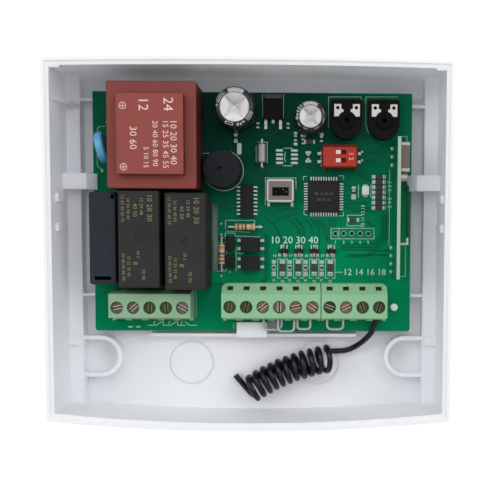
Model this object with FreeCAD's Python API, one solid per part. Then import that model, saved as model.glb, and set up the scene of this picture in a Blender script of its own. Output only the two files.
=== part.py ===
import FreeCAD, Part
import math
import os

# Shutter motor controller: an open tray with its circuit board, lying on its back.
# Millimetres. +Z comes out of the wall, +Y is up on the wall, the origin is under the tray's middle.

V = FreeCAD.Vector
os.makedirs("parts", exist_ok=True)

# Tray
case_width = 120.0
case_depth = 28.3
top_bow = 0.7
bottom_bow = 2.9
wall = 1.6
floor_thickness = 2.0
rim_width = 2.3
rim_depth = 2.6
rim_step_width = 1.1
rim_step_depth = 0.7
corner_radius = 1.3
rail_width = 4.2
rail_height = 5.0
corner_tab_length = 3.0
corner_tab_width = 0.5
corner_tab_drop = 0.9
pocket_radius = 6.6
pocket_wall = 1.25
pocket_from_side = 11.4
pocket_from_bottom = 19.5
pocket_hole_radius = 2.1
pocket_membrane = 0.7
knockout_x = 20.4
knockout_from_bottom = 16.8
knockout_radius = 7.2
score_width = 0.4
score_depth = 0.5
board_rib_width = 1.0
board_rib_length = 66.0
board_rib_gap = 1.0
support_rib_width = 1.0
support_rib_overlap = 3.0
support_rib_ys = (35.2, 9.3, -26.2)
right_rib_drop = 1.4
clip_y = 9.4
clip_length = 4.9
clip_height = 4.0
clip_hook_overlap = 1.5
clip_hook_height = 0.9
latch_nub_ys = (4.0, -4.9)
latch_nub_length = 2.4
latch_nub_proud = 0.9
latch_nub_depth = 9.0
latch_nub_drop = 8.0
wall_rib_y = 32.6
wall_rib_width = 1.1
wall_rib_reach = 4.0
wall_rib_height = 17.0
rail_block_length = 2.8
rail_block_height = 1.5
peg_radius = 1.15
peg_height = 1.5
peg_edge_x = 5.1
peg_edge_y = 7.8

# Board
board_width = 100.0
board_thickness = 1.6
board_standoff = 4.4
board_top_margin = 7.1
wiring_bay = 27.9
board_corner = 0.8
notch_left = -5.5
notch_right = 9.0
notch_depth = 3.1
lug_width = 9.6
slot_width = 1.65
slot_length = 21.4
slot_top = 2.7
peg_clearance = 0.2
pin_radius = 0.4
pin_hole_clearance = 0.1
pin_tail = 1.1
header_hole_radius = 0.5
header_pitch = 2.6
header_first = (26.1, -6.4)
header_holes = 5

# Gaps between neighbours
seat_gap = 0.3
touch_gap = 0.05
running_gap = 0.06

# Fuse
fuse_cover_width = 8.0
fuse_cover_length = 27.8
fuse_cover_height = 13.0
fuse_cover_wall = 0.6
fuse_edge_gap = 1.6
fuse_shift = 0.2
fuse_slot_length = 5.0
fuse_slot_width = 1.1
fuse_notch = 1.3
fuse_base_height = 2.4
fuse_length = 20.0
fuse_radius = 2.5
fuse_cap_length = 5.0
fuse_cap_wall = 0.12
fuse_axis_height = 6.0
clip_metal = 0.4
fuse_clip_length = 5.0

# Relays
relay_width = 12.2
relay_length = 29.0
relay_height = 15.6
relay_wall = 0.7
relay_to_fuse = 1.2
relay_gap = 1.65
relay_terminal_gap = 1.3
relay_step = 0.65
relay_base_height = 1.3
relay_dimple_radius = 1.0
relay_dimple_depth = 0.3
relay_coil_radius = 4.2
relay_coil_share = 0.5
relay_pin_spread = 3.8
relay_pin_inset = 3.0
relay_contact_step = 2.6
relay_core_radius = 1.6
relay_yoke = 0.9
relay_armature_height = 9.2
relay_armature_width = 7.6
relay_armature_thickness = 0.9
relay_armature_gap = 1.0
relay_blade = 0.35

# Transformer
transformer_width = 26.4
transformer_length = 31.4
transformer_tier = 17.0
plateau_width = 19.6
plateau_length = 23.4
plateau_height = 2.8
transformer_wall = 1.2
transformer_fillet = 0.7
transformer_relay_gap = 0.4
transformer_overhang = 0.4
transformer_x = -28.75
core_leg = 3.8
core_length = 27.0
core_stack = 9.0
winding_thickness = 3.1
winding_gap = 0.6

# Terminals
mains_pitch = 5.0
mains_poles = 5
mains_left = -43.6
mains_rear_height = 5.0
mains_depth = 9.6
signal_pitch = 5.08
signal_left_poles = 6
signal_right_poles = 4
signal_left = -9.15
signal_gap = 0.25
signal_rear_height = 6.2
signal_depth = 11.8
terminal_height = 10.0
terminal_front = 3.7
terminal_lip = 1.3
terminal_lip_height = 4.2
terminal_top_length = 7.35
terminal_corner = 1.4
dovetail = (0.5, 2.4, 7.5)
screw_row = 3.1
signal_screw_shift = 0.3
well_radius = 1.95
screw_head_radius = 1.86
screw_head_height = 1.5
screw_sink = 1.1
screw_shaft_radius = 1.25
screw_shaft_length = 3.8
screw_slot_width = 0.6
screw_slot_depth = 0.7
cage_width = 3.6
cage_depth = 4.6
cage_height = 5.4
cage_wall = 0.7
cage_floor = 1.0
entry_width = 3.0
entry_height = 3.4
window_width = 1.9
window_floor = 3.0
window_length = 1.2
window_setback = 1.1
wire_radius = 0.4
# Link from each signal pole to the next: shifts of its two legs, reach and height
signal_links = (None, None, (-0.1, 0.45, 3.0, 2.15), (-0.6, -0.6, 3.5, 3.05), (0.4, -0.6, 2.8, 2.6), None,
                (-0.6, -0.6, 2.8, 2.6), None, None)

# Antenna
antenna_radius = 0.9
coil_turns = 11
coil_radius = 3.75
coil_start = (24.7, 0.3208)
coil_pull = (10.2, 0.4068)
coil_end = (-1.15, 0.6935)
coil_lift = 0.35
coil_lean = 1.3
coil_lean_turns = 5
coil_wobble = 0.06
coil_entry = (25.1, 0.2545)
coil_entry_way = (-0.99, -0.02)
coil_leave = (-2.1, 0.7097)
coil_leave_way = (-0.643, 0.766)
coil_tail = 6.2
antenna_pad = (38.95, 4.2, 2.9)
antenna_points = ((38.55, -0.068, 2.5), (37.6, 0.022, 1.4), (35.6, 0.111, -1.0), (33.2, 0.19, -3.6), (30.3, 0.247, -4.73))

# Capacitors, as centre, radius, height and vent radius
capacitors = (((-4.7, 31.1), 6.1, 13.5, 4.4), ((18.0, 28.8), 4.95, 11.0, 3.4))
sleeve_thickness = 0.25
vent_groove = 0.5
vent_depth = 0.25

# Small electronics
regulator_center = (6.35, 32.2)
regulator_size = (6.1, 6.4, 2.3)
regulator_tab = (5.3, 1.5, 0.5)
regulator_leg_width = 0.9
regulator_leg_pitch = 2.3
regulator_leg_length = 2.8
trimmer_centers = ((29.3, 28.45), (40.9, 28.45))
trimmer_radius = 4.75
trimmer_top = 6.6
trimmer_drop = 0.9
trimmer_ledge = (1.4, 1.1)
trimmer_groove = (1.5, 0.35, 0.5)
trimmer_height = 4.6
trimmer_rotor_radius = 2.6
trimmer_rotor_proud = 0.8
trimmer_rotor_hole = 0.75
trimmer_floor = 0.8
trimmer_plate = ((3.95, 1.2), (3.95, 4.95), (1.8, 4.95), (1.8, 3.55), (1.1, 3.3), (1.1, 1.2))
trimmer_plate_thickness = 0.35
trimmer_plate_spread = 4.5
trimmer_plate_hole = 0.55
trimmer_plate_hole_at = (2.87, 3.85)
dip_center = (27.15, 17.4)
dip_size = (11.2, 7.4, 5.6)
dip_corner = 0.8
dip_pitch = 2.54
dip_slot = (3.3, 1.4, 2.0)
dip_slot_shift = 0.3
dip_lever = (1.5, 1.2)
dip_lever_proud = 0.3
buzzer_center = (-9.1, 13.15)
buzzer_radius = 5.9
buzzer_height = 8.6
buzzer_wall = 0.7
buzzer_hole = 0.8
buzzer_hole_shift = 0.5
buzzer_disc_height = 5.6
buzzer_disc_thickness = 0.4
buzzer_magnet_radius = 3.6
micro_center = (22.3, 5.2)
micro_size = (10.0, 10.0, 1.3)
micro_legs = 11
micro_pitch = 0.8
driver_center = (-1.85, 3.8)
driver_size = (4.1, 10.0, 1.6)
driver_legs = 8
driver_pitch = 1.2
opto_centers = ((-0.7, -10.0), (-0.7, -15.8))
opto_size = (6.0, 4.4, 3.4)
opto_legs = 2
opto_pitch = 2.54
leg_reach = 1.2
leg_thickness = 0.2
leg_lift = 0.7
micro_leg_width = 0.35
driver_leg_width = 0.5
opto_leg_width = 0.9
crystal_center = (8.65, 6.9)
crystal_size = (8.6, 7.3, 3.0)
crystal_corner = 0.9
crystal_leg_spread = 7.4
crystal_leg_length = 1.2
crystal_leg_width = 0.8
can_center = (2.85, 18.6)
can_radius = 1.3
can_length = 5.8
can_lead = 1.3
lead_radius = 0.3
resistor_radius = 1.15
resistor_length = 6.2
resistor_lead = 2.2
resistors = (((-2.4, -4.5), 0.0), ((-9.85, -13.1), 90.0))
varistor_center = (-45.6, 19.5)
varistor_radius = 4.9
varistor_thickness = 2.7
varistor_turn = 14.0
varistor_lift = 1.4
block_diodes = ((-7.2, -9.6), (-7.2, -15.3))
block_diode_size = (2.6, 4.4, 2.1)
led_center = (35.5, 7.2)
led_size = (2.2, 2.7, 1.0)
transistor_centers = ((9.8, -11.95), (14.5, -11.95), (19.4, -11.95), (24.8, -11.95))
transistor_size = (2.9, 1.3, 1.0)
chip_column_xs = (9.3, 14.35, 19.4, 24.5)
chip_column_y = -17.3
chip_large = (1.6, 3.4, 0.6)
chip_small = (0.9, 1.7, 0.5)
chip_column_spread = 2.7
chip_stack_x = 39.8
chip_stack_y = 6.6
chip_stack_pitch = 1.62
chip_stack_count = 7
chip_flat = (3.2, 1.2, 0.5)
loose_chips = ((1.5, 27.3), (11.1, 27.2), (13.4, 23.4), (15.8, 22.4), (21.5, 23.2), (31.8, 6.4), (-5.4, 23.4), (17.4, 17.6))
flat_chips = ((17.8, 22.3), (31.6, -2.1))
receiver_x = 44.7
receiver_thickness = 1.0
receiver_length = 42.8
receiver_height = 13.8
receiver_y = 1.2
receiver_pin_ys = (20.2, 17.66, 15.1, -11.0, -13.54, -16.1, -18.64)
receiver_can_size = (3.0, 9.0, 7.5)
receiver_can_y = 16.8
receiver_can_top_gap = 2.4
receiver_coil_radius = 1.2
receiver_coil_y = 10.6
receiver_loop_length = 17.4
receiver_loop_reach = 2.3
receiver_loop_y = 7.9

# Worked out from the sizes above
board_height = (terminal_front + mains_depth + relay_terminal_gap + relay_length + transformer_relay_gap
                + transformer_length - transformer_overhang)
board_rise = (wiring_bay - board_top_margin) / 2
case_height = wiring_bay + board_height + board_top_margin
half_width = case_width / 2
top_middle = case_height / 2
bottom_middle = -case_height / 2
pocket_x = half_width - pocket_from_side
pocket_y = bottom_middle + pocket_from_bottom
knockout_y = bottom_middle + knockout_from_bottom
board_bottom = floor_thickness + board_standoff
board_top = board_bottom + board_thickness
floor_z = floor_thickness - board_top
rail_z = floor_z + rail_height
half_board = board_width / 2
board_edge_low = -board_height / 2
fuse_x = -half_board + fuse_edge_gap + fuse_cover_width / 2
relay_xs = [fuse_x + fuse_cover_width / 2 + relay_to_fuse + relay_width / 2]
relay_xs.append(relay_xs[0] + relay_width + relay_gap)
relay_y = board_edge_low + terminal_front + mains_depth + relay_terminal_gap + relay_length / 2
relay_coil_length = relay_length * relay_coil_share
relay_pin_end = relay_length / 2 - relay_pin_inset
fuse_y = relay_y + fuse_shift
relay_centers = [(relay_xs[0], relay_y), (relay_xs[1], relay_y - relay_step)]
transformer_y = relay_y + relay_length / 2 + transformer_relay_gap + transformer_length / 2
terminal_front_y = board_edge_low + terminal_front
slot_center_x = relay_xs[1] + relay_width / 2 + slot_width / 2 + seat_gap
peg_x = half_board - peg_edge_x
peg_y = board_edge_low + peg_edge_y
signal_split = signal_left + signal_left_poles * signal_pitch
signal_right_end = signal_split + signal_gap + signal_right_poles * signal_pitch


def box(x0, x1, y0, y1, z0, z1):
    return Part.makeBox(x1 - x0, y1 - y0, z1 - z0, V(x0, y0, z0))


def block(center, size, z0=0.0):
    """A box on its centre, with its underside at z0."""
    (x, y), (w, l, h) = center, size
    return box(x - w / 2, x + w / 2, y - l / 2, y + l / 2, z0, z0 + h)


def rod(x, y, z0, z1, radius):
    return Part.makeCylinder(radius, z1 - z0, V(x, y, z0))


def rod_along(start, direction, length, radius):
    return Part.makeCylinder(radius, length, V(*start), V(*direction))


def prism(points, direction):
    """A flat outline pushed along a direction."""
    corners = [V(*p) for p in points]
    return Part.Face(Part.makePolygon(corners + corners[:1])).extrude(V(*direction))


def join(shapes):
    return shapes[0].multiFuse(shapes[1:]).removeSplitter() if len(shapes) > 1 else shapes[0]


def upright_edges(shape):
    found = []
    for edge in shape.Edges:
        a, b = edge.Vertexes[0].Point, edge.Vertexes[-1].Point
        if len(edge.Vertexes) == 2 and abs(a.x - b.x) < 1e-6 and abs(a.y - b.y) < 1e-6:
            found.append(edge)
    return found


def edges_at(shape, z):
    return [edge for edge in shape.Edges if all(abs(p.Point.z - z) < 1e-6 for p in edge.Vertexes)]


def mirrored(shape):
    return shape.mirror(V(0, 0, 0), V(1, 0, 0))


def export(name, shapes, on_board=True):
    """Writes one node. What is modelled on the board is moved from the board's frame to the tray's."""
    solid = Part.makeCompound(shapes) if len(shapes) > 1 else shapes[0]
    if on_board:
        solid = solid.translated(V(0, board_rise, board_top))
    solid.exportStep("parts/%s.step" % name)
    print(name, len(solid.Solids), "solids", round(solid.Volume, 1), "mm3", solid.isValid())


# Tray, in its own frame
def tray_outline(inset, z0, z1):
    x = half_width - inset
    low, low_middle = bottom_middle + bottom_bow + inset, bottom_middle + inset
    high, high_middle = top_middle - top_bow - inset, top_middle - inset
    edges = [Part.Arc(V(-x, low, z0), V(0, low_middle, z0), V(x, low, z0)).toShape(),
             Part.LineSegment(V(x, low, z0), V(x, high, z0)).toShape(),
             Part.Arc(V(x, high, z0), V(0, high_middle, z0), V(-x, high, z0)).toShape(),
             Part.LineSegment(V(-x, high, z0), V(-x, low, z0)).toShape()]
    return Part.Face(Part.Wire(edges)).extrude(V(0, 0, z1 - z0))


def tray_shell():
    outer = tray_outline(0, 0, case_depth)
    outer = outer.makeFillet(corner_radius, upright_edges(outer))
    hollow = tray_outline(wall, floor_thickness, case_depth - rim_depth)
    mouth = tray_outline(rim_width, case_depth - rim_depth, case_depth + 1)
    step = tray_outline(rim_step_width, case_depth - rim_step_depth, case_depth + 1)
    return outer.cut(hollow).cut(mouth).cut(step)


def pocket_walls(x, y, top):
    """A U of wall, open towards the rail at its left."""
    def slug(radius):
        return rod(x, y, floor_thickness, top, radius).fuse(
            box(-half_width + wall, x, y - radius, y + radius, floor_thickness, top))
    return slug(pocket_radius).cut(slug(pocket_radius - pocket_wall))


def side_clip():
    """The left board clip: a block from the side wall with a hook over the board's edge."""
    inner = -half_board - seat_gap
    hook = board_top + seat_gap
    outline = [(-half_width + wall, floor_thickness), (inner, floor_thickness), (inner, hook),
               (inner + seat_gap + clip_hook_overlap, hook), (inner + seat_gap + clip_hook_overlap, hook + clip_hook_height),
               (inner - 1.0, board_top + clip_height), (-half_width + wall, board_top + clip_height)]
    y0 = clip_y + board_rise - clip_length / 2
    return prism([(x, y0, z) for x, z in outline], (0, clip_length, 0))


def support_rib(rail_x, y):
    """A rib that carries the board's left edge."""
    return box(rail_x, -half_board + support_rib_overlap, y + board_rise - support_rib_width / 2,
               y + board_rise + support_rib_width / 2, floor_thickness, board_bottom)


def wall_rib(pocket_top):
    """The gusset on the left wall only."""
    x, y = -half_width + wall, wall_rib_y + board_rise
    return prism([(x, y, pocket_top), (x + wall_rib_reach, y, pocket_top), (x, y, pocket_top + wall_rib_height)],
                 (0, wall_rib_width, 0))


def left_details(pocket_top):
    """Everything moulded on the left side, mirrored for the right."""
    wall_x = -half_width + wall
    rail_x = wall_x + rail_width
    details = [box(wall_x, rail_x, -case_height, case_height, floor_thickness, pocket_top)]
    details.append(pocket_walls(-pocket_x, pocket_y, pocket_top))
    details.append(side_clip())
    block_y = pocket_y + pocket_radius - rail_block_length
    details.append(box(wall_x, rail_x - 0.5, block_y, block_y + rail_block_length, pocket_top, pocket_top + rail_block_height))
    for y in support_rib_ys[1:]:
        details.append(support_rib(rail_x, y))
    for y in latch_nub_ys:
        top = case_depth - latch_nub_drop
        details.append(box(wall_x, wall_x + latch_nub_proud, y + board_rise - latch_nub_length / 2,
                           y + board_rise + latch_nub_length / 2, top - latch_nub_depth, top))
    tab_z = case_depth - corner_tab_drop
    details.append(box(wall_x, -half_width + rim_width + corner_tab_length, top_middle - top_bow - rim_width - corner_tab_width,
                       top_middle, tab_z - rim_depth, tab_z))
    return details


def score_ring(x):
    ring = rod(x, knockout_y, floor_thickness - score_depth, floor_thickness + 1, knockout_radius)
    return ring.cut(rod(x, knockout_y, 0, case_depth, knockout_radius - score_width))


def enclosure_base():
    pocket_top = floor_thickness + rail_height
    left = left_details(pocket_top)
    inside = left + [mirrored(shape) for shape in left]
    rail_x = -half_width + wall + rail_width
    inside += [wall_rib(pocket_top), support_rib(rail_x, support_rib_ys[0]),
               mirrored(support_rib(rail_x, support_rib_ys[0] - right_rib_drop))]
    rib_y = board_edge_low + board_rise - board_rib_gap
    inside.append(box(-board_rib_length / 2, board_rib_length / 2, rib_y - board_rib_width, rib_y,
                      floor_thickness, pocket_top))
    lug_x = notch_left + seat_gap
    inside.append(box(lug_x, lug_x + lug_width, rib_y - board_rib_width, board_edge_low + board_rise + notch_depth - seat_gap,
                      floor_thickness, board_top + 1.0))
    peg_base = rod(peg_x, peg_y + board_rise, floor_thickness, board_bottom, peg_radius + 1.2)
    inside += [peg_base, rod(peg_x, peg_y + board_rise, floor_thickness, board_top + peg_height, peg_radius)]
    room = tray_outline(wall / 2, floor_thickness / 2, case_depth)
    tray = join([tray_shell()] + [shape.common(room) for shape in inside])
    cuts = [score_ring(knockout_x), score_ring(-knockout_x)]
    for side in (-1, 1):
        cuts.append(rod(side * pocket_x, pocket_y, -1, floor_thickness - pocket_membrane, pocket_hole_radius))
    return tray.cut(Part.makeCompound(cuts))


# Board and what is soldered to it, in the board's frame: its middle and its top face are zero
def relay_pin_places():
    places = []
    for x, y in relay_centers:
        places += [(x + side * relay_pin_spread, y + end * relay_pin_end) for end in (-1, 1) for side in (-1, 1)]
        places.append((x, y - relay_pin_end + relay_contact_step))
    return places


def terminal_blocks():
    """Each block as its left edge, pitch, poles, rear height and depth."""
    return (("mains_terminal_body", mains_left, mains_pitch, mains_poles, mains_rear_height, mains_depth),
            ("signal_terminal_body_left", signal_left, signal_pitch, signal_left_poles, signal_rear_height, signal_depth),
            ("signal_terminal_body_right", signal_split + signal_gap, signal_pitch, signal_right_poles,
             signal_rear_height, signal_depth))


def pole_places():
    places = []
    for name, left, pitch, poles, rear_height, depth in terminal_blocks():
        places += [(left + pitch * (i + 0.5), screw_y(pitch)) for i in range(poles)]
    return places


def screw_y(pitch):
    shift = signal_screw_shift if pitch == signal_pitch else 0
    return terminal_front_y + screw_row + terminal_lip + shift


def pin_places():
    places = relay_pin_places()
    places += pole_places()
    for side in (-1, 1):
        for k in (-1, 0, 1):
            places.append((transformer_x + k * 8.0, transformer_y + side * 12.5))
        places.append((fuse_x, fuse_y + side * (fuse_length - fuse_clip_length) / 2))
        places.append((buzzer_center[0] + side * 3.2, buzzer_center[1]))
        places.append((varistor_center[0], varistor_center[1] + side * 3.5))
    for (x, y), radius, height, vent in capacitors:
        places += [(x - radius / 2.5, y), (x + radius / 2.5, y)]
    for x, y in trimmer_centers:
        places += [(x - trimmer_plate_spread / 2, y + 4.6), (x + trimmer_plate_spread / 2, y + 4.6), (x, y - 3.6)]
    places += [(receiver_x, y) for y in receiver_pin_ys]
    return places


def header_places():
    return [(header_first[0] + i * header_pitch, header_first[1]) for i in range(header_holes)]


def circuit_board():
    board = block((0, 0), (board_width, board_height, board_thickness), -board_thickness)
    low = [e for e in upright_edges(board) if e.Vertexes[0].Point.y < 0]
    board = board.makeFillet(board_corner, low)
    deep = -board_thickness - 1
    cuts = [box(notch_left, notch_right, board_edge_low - 1, board_edge_low + notch_depth, deep, 1),
            box(slot_center_x - slot_width / 2, slot_center_x + slot_width / 2, slot_top - slot_length, slot_top, deep, 1),
            rod(peg_x, peg_y, deep, 1, peg_radius + peg_clearance)]
    cuts += [rod(x, y, deep, 1, pin_radius + pin_hole_clearance) for x, y in pin_places() + lead_places()]
    cuts += [rod(x, y, deep, 1, header_hole_radius) for x, y in header_places()]
    return board.cut(Part.makeCompound(cuts))


def component_pins():
    return [rod(x, y, -board_thickness - pin_tail, 0, pin_radius) for x, y in pin_places()]


def transformer():
    center = (transformer_x, transformer_y)
    tier = block(center, (transformer_width, transformer_length, transformer_tier))
    tier = tier.makeFillet(transformer_fillet, upright_edges(tier) + edges_at(tier, transformer_tier))
    plateau = block(center, (plateau_width, plateau_length, transformer_tier + plateau_height))
    plateau = plateau.makeFillet(transformer_fillet / 2, upright_edges(plateau) + edges_at(plateau, transformer_tier + plateau_height))
    cavity = block(center, (transformer_width - 2 * transformer_wall, transformer_length - 2 * transformer_wall,
                            transformer_tier - transformer_wall + 1), -1)
    export("transformer_case", [tier.fuse(plateau).removeSplitter().cut(cavity)])
    core_low = (transformer_tier - transformer_wall - core_stack) / 2
    core = block(center, (6 * core_leg, core_length, core_stack), core_low)
    windows = []
    for side in (-1, 1):
        windows.append(block((center[0] + side * 1.5 * core_leg, center[1]), (core_leg, core_length - 2 * core_leg, core_stack + 2), core_low - 1))
    export("transformer_core", [core.cut(Part.makeCompound(windows))])
    coil_length = (core_length - 2 * core_leg - 3 * winding_gap) / 2
    coils = []
    for side in (-1, 1):
        y = center[1] + side * (coil_length + winding_gap) / 2
        outer = block((center[0], y), (2 * core_leg + 2 * winding_thickness, coil_length, core_stack + 2 * winding_thickness), core_low - winding_thickness)
        inner = block((center[0], y), (2 * core_leg + 0.4, coil_length + 2, core_stack + 0.4), core_low - 0.2)
        coils.append(outer.cut(inner))
    export("transformer_windings", coils)


def relay_shells(center):
    x, y = center
    cover = block(center, (relay_width, relay_length, relay_height))
    cover = cover.makeFillet(0.5, upright_edges(cover) + edges_at(cover, relay_height))
    hollow = block(center, (relay_width - 2 * relay_wall, relay_length - 2 * relay_wall, relay_height - relay_wall + 1), -1)
    dimple = rod(x, y, relay_height - relay_dimple_depth, relay_height + 1, relay_dimple_radius)
    base = block(center, (relay_width - 2 * relay_wall - 2 * touch_gap, relay_length - 2 * relay_wall - 2 * touch_gap, relay_base_height))
    return cover.cut(hollow).cut(dimple), base


def relay_axis_height():
    return relay_base_height + relay_yoke + relay_coil_radius + 0.2


def relay_coil(center):
    """The winding, its core and the yoke that ends under the armature."""
    x, y = center
    z = relay_axis_height()
    rear = y + relay_length / 2 - relay_wall - 0.4
    start = rear - relay_yoke - relay_coil_length
    winding = rod_along((x, start, z), (0, 1, 0), relay_coil_length, relay_coil_radius)
    core = rod_along((x, start - 0.4, z), (0, 1, 0), relay_coil_length + 0.4, relay_core_radius)
    foot = box(x - 3.6, x + 3.6, start - 1.1, rear, relay_base_height, relay_base_height + relay_yoke)
    back = box(x - 3.6, x + 3.6, rear - relay_yoke, rear, relay_base_height, z + relay_coil_radius)
    return [winding.cut(rod_along((x, start - 1, z), (0, 1, 0), relay_coil_length + 2, relay_core_radius + touch_gap)),
            core, foot.fuse(back).removeSplitter()]


def relay_armature(center):
    x, y = center
    core_end = y + relay_length / 2 - relay_wall - 0.8 - relay_yoke - relay_coil_length
    face = core_end - relay_armature_gap
    low = relay_base_height + seat_gap
    return box(x - relay_armature_width / 2, x + relay_armature_width / 2, face - relay_armature_thickness, face, low, low + relay_armature_height)


def relay_contacts(center):
    x, y = center
    blades = []
    rows = (y - relay_pin_end + relay_contact_step, y - relay_pin_end)
    for blade_y, top in zip(rows, (10.5, 11.5)):
        blades.append(box(x - 2.6, x + 2.6, blade_y - relay_blade / 2, blade_y + relay_blade / 2, relay_base_height, top))
    for blade_y, facing in zip(rows, (-1, 1)):
        blades.append(rod_along((x, blade_y + facing * relay_blade / 2, 9.0), (0, facing, 0), 0.6, 1.2))
    return blades


def relays():
    shells = [relay_shells(center) for center in relay_centers]
    export("relay_housings", [solid for shell in shells for solid in shell])
    export("relay_coils", [solid for center in relay_centers for solid in relay_coil(center)])
    export("relay_contacts", [solid for center in relay_centers for solid in relay_contacts(center)])
    for number, center in enumerate(relay_centers, 1):
        export("relay_%d_armature" % number, [relay_armature(center)])


def fuse_clip(y):
    inner = fuse_radius + fuse_cap_wall + touch_gap
    outer = inner + clip_metal
    top = fuse_axis_height + fuse_radius * 0.7
    shell = box(fuse_x - outer, fuse_x + outer, y - fuse_clip_length / 2, y + fuse_clip_length / 2, fuse_base_height, top)
    room = box(fuse_x - inner, fuse_x + inner, y - fuse_clip_length, y + fuse_clip_length, fuse_base_height + clip_metal, top + 1)
    return shell.cut(room)


def fuse_group():
    inside = (fuse_cover_width - 2 * fuse_cover_wall, fuse_cover_length - 2 * fuse_cover_wall)
    center = (fuse_x, fuse_y)
    export("fuse_holder", [block(center, (inside[0] - 2 * seat_gap, inside[1] - 2 * seat_gap, fuse_base_height))])
    ends = [fuse_y + side * (fuse_length - fuse_clip_length) / 2 for side in (-1, 1)]
    export("fuse_clips", [fuse_clip(y) for y in ends])
    glass = rod_along((fuse_x, fuse_y - fuse_length / 2, fuse_axis_height), (0, 1, 0), fuse_length, fuse_radius)
    bore = rod_along((fuse_x, fuse_y - fuse_length, fuse_axis_height), (0, 1, 0), 2 * fuse_length, fuse_radius - 0.5)
    caps = []
    for side, y in ((-1, fuse_y - fuse_length / 2), (1, fuse_y + fuse_length / 2)):
        cap = rod_along((fuse_x, y + side * fuse_cap_wall * 2, fuse_axis_height), (0, -side, 0), fuse_cap_length, fuse_radius + fuse_cap_wall)
        caps.append(cap.cut(rod_along((fuse_x, y, fuse_axis_height), (0, -side, 0), fuse_cap_length, fuse_radius)))
    wire = rod_along((fuse_x, fuse_y - fuse_length / 2, fuse_axis_height), (0, 1, 0), fuse_length, 0.1)
    export("glass_fuse", [glass.cut(bore), wire] + caps)
    cover = block(center, (fuse_cover_width, fuse_cover_length, fuse_cover_height - seat_gap), seat_gap)
    cover = cover.makeFillet(0.9, upright_edges(cover))
    cover = cover.makeFillet(0.5, edges_at(cover, fuse_cover_height))
    room = block(center, (inside[0], inside[1], fuse_cover_height - fuse_cover_wall + 1), -1)
    slot_y = fuse_y - fuse_cover_length / 2 + 1.9
    slot = block((fuse_x, slot_y), (fuse_slot_length, fuse_slot_width, 3), fuse_cover_height - 2)
    corner = (fuse_x + fuse_cover_width / 2 - fuse_notch / 2, fuse_y + fuse_cover_length / 2 - 1.4)
    notch = block(corner, (fuse_notch + 0.2, fuse_notch, 3), fuse_cover_height - 1.2)
    export("fuse_cover", [cover.cut(room).cut(slot).cut(notch)])


def terminal_outline(rear_height, depth):
    """The block's side view as y and z, from the front lip to the rear."""
    front = terminal_front_y
    crease = front + terminal_lip + terminal_top_length
    return [(front, 0), (front, terminal_lip_height), (front + terminal_lip, terminal_lip_height + 0.6),
            (front + terminal_lip, terminal_height), (crease, terminal_height), (front + depth, rear_height), (front + depth, 0)]


def terminal_body(left, pitch, poles, rear_height, depth):
    body = prism([(left, y, z) for y, z in terminal_outline(rear_height, depth)], (pitch * poles, 0, 0))
    front, y = terminal_front_y, screw_y(pitch)
    ends = [x for x in (left, left + pitch * poles) if x in (signal_left, signal_right_end)]
    corners = [e for e in upright_edges(body) if e.Vertexes[0].Point.y > front + depth - 0.01
               and any(abs(e.Vertexes[0].Point.x - x) < 0.01 for x in ends)]
    if corners:
        body = body.makeFillet(terminal_corner, corners)
    else:
        proud, length, height = dovetail
        ridge = box(left - proud, left + 1, y - length / 2, y + length / 2, 0, height)
        body = body.fuse(ridge) if pitch == mains_pitch else body
    cuts = []
    for i in range(poles):
        x = left + pitch * (i + 0.5)
        cuts.append(rod(x, y, cage_floor + cage_height, terminal_height + 1, well_radius))
        cuts.append(block((x, y), (cage_width + 2 * touch_gap, cage_depth + 2 * touch_gap, cage_height + touch_gap), cage_floor))
        cuts.append(box(x - entry_width / 2, x + entry_width / 2, front - 1, y, cage_floor, cage_floor + entry_height))
        if rear_height > mains_rear_height:
            crease = front + terminal_lip + terminal_top_length
            cuts.append(block((x, crease + window_setback + window_length / 2), (window_width, window_length, terminal_height), window_floor))
    return body.cut(Part.makeCompound(cuts))


def cage(x, y):
    """A clamping cage: a square sleeve with the screw's thread in its top."""
    sleeve = block((x, y), (cage_width, cage_depth, cage_height), cage_floor)
    throat = box(x - cage_width / 2 + cage_wall, x + cage_width / 2 - cage_wall, y - cage_depth, y + cage_depth,
                 cage_floor + cage_wall, cage_floor + cage_height - 1.2)
    return sleeve.cut(throat).cut(rod(x, y, cage_floor + 2, terminal_height, screw_shaft_radius + running_gap))


def terminal_screw(x, y, turn):
    top = terminal_height - screw_sink
    head = rod(x, y, top - screw_head_height, top, screw_head_radius)
    shaft = rod(x, y, top - screw_head_height - screw_shaft_length, top - screw_head_height, screw_shaft_radius)
    slot = block((x, y), (2 * well_radius + 1, screw_slot_width, screw_slot_depth + 1), top - screw_slot_depth)
    slot.rotate(V(x, y, 0), V(0, 0, 1), turn)
    return head.fuse(shaft).removeSplitter().cut(slot)


def link_wire(a, b, reach, z):
    """A bare link bent into a U between two wire entries, its ends clamped in their cages."""
    y0, y1 = screw_y(signal_pitch), terminal_front_y - reach
    bend = (b - a) / 4
    half = bend * math.sqrt(0.5)
    edges = [Part.LineSegment(V(a, y0, z), V(a, y1 + bend, z)).toShape(),
             Part.Arc(V(a, y1 + bend, z), V(a + bend - half, y1 + bend - half, z), V(a + bend, y1, z)).toShape(),
             Part.LineSegment(V(a + bend, y1, z), V(b - bend, y1, z)).toShape(),
             Part.Arc(V(b - bend, y1, z), V(b - bend + half, y1 + bend - half, z), V(b, y1 + bend, z)).toShape(),
             Part.LineSegment(V(b, y1 + bend, z), V(b, y0, z)).toShape()]
    profile = Part.Wire([Part.makeCircle(wire_radius, V(a, y0, z), V(0, -1, 0))])
    return Part.Wire(edges).makePipeShell([profile], True, False)


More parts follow.
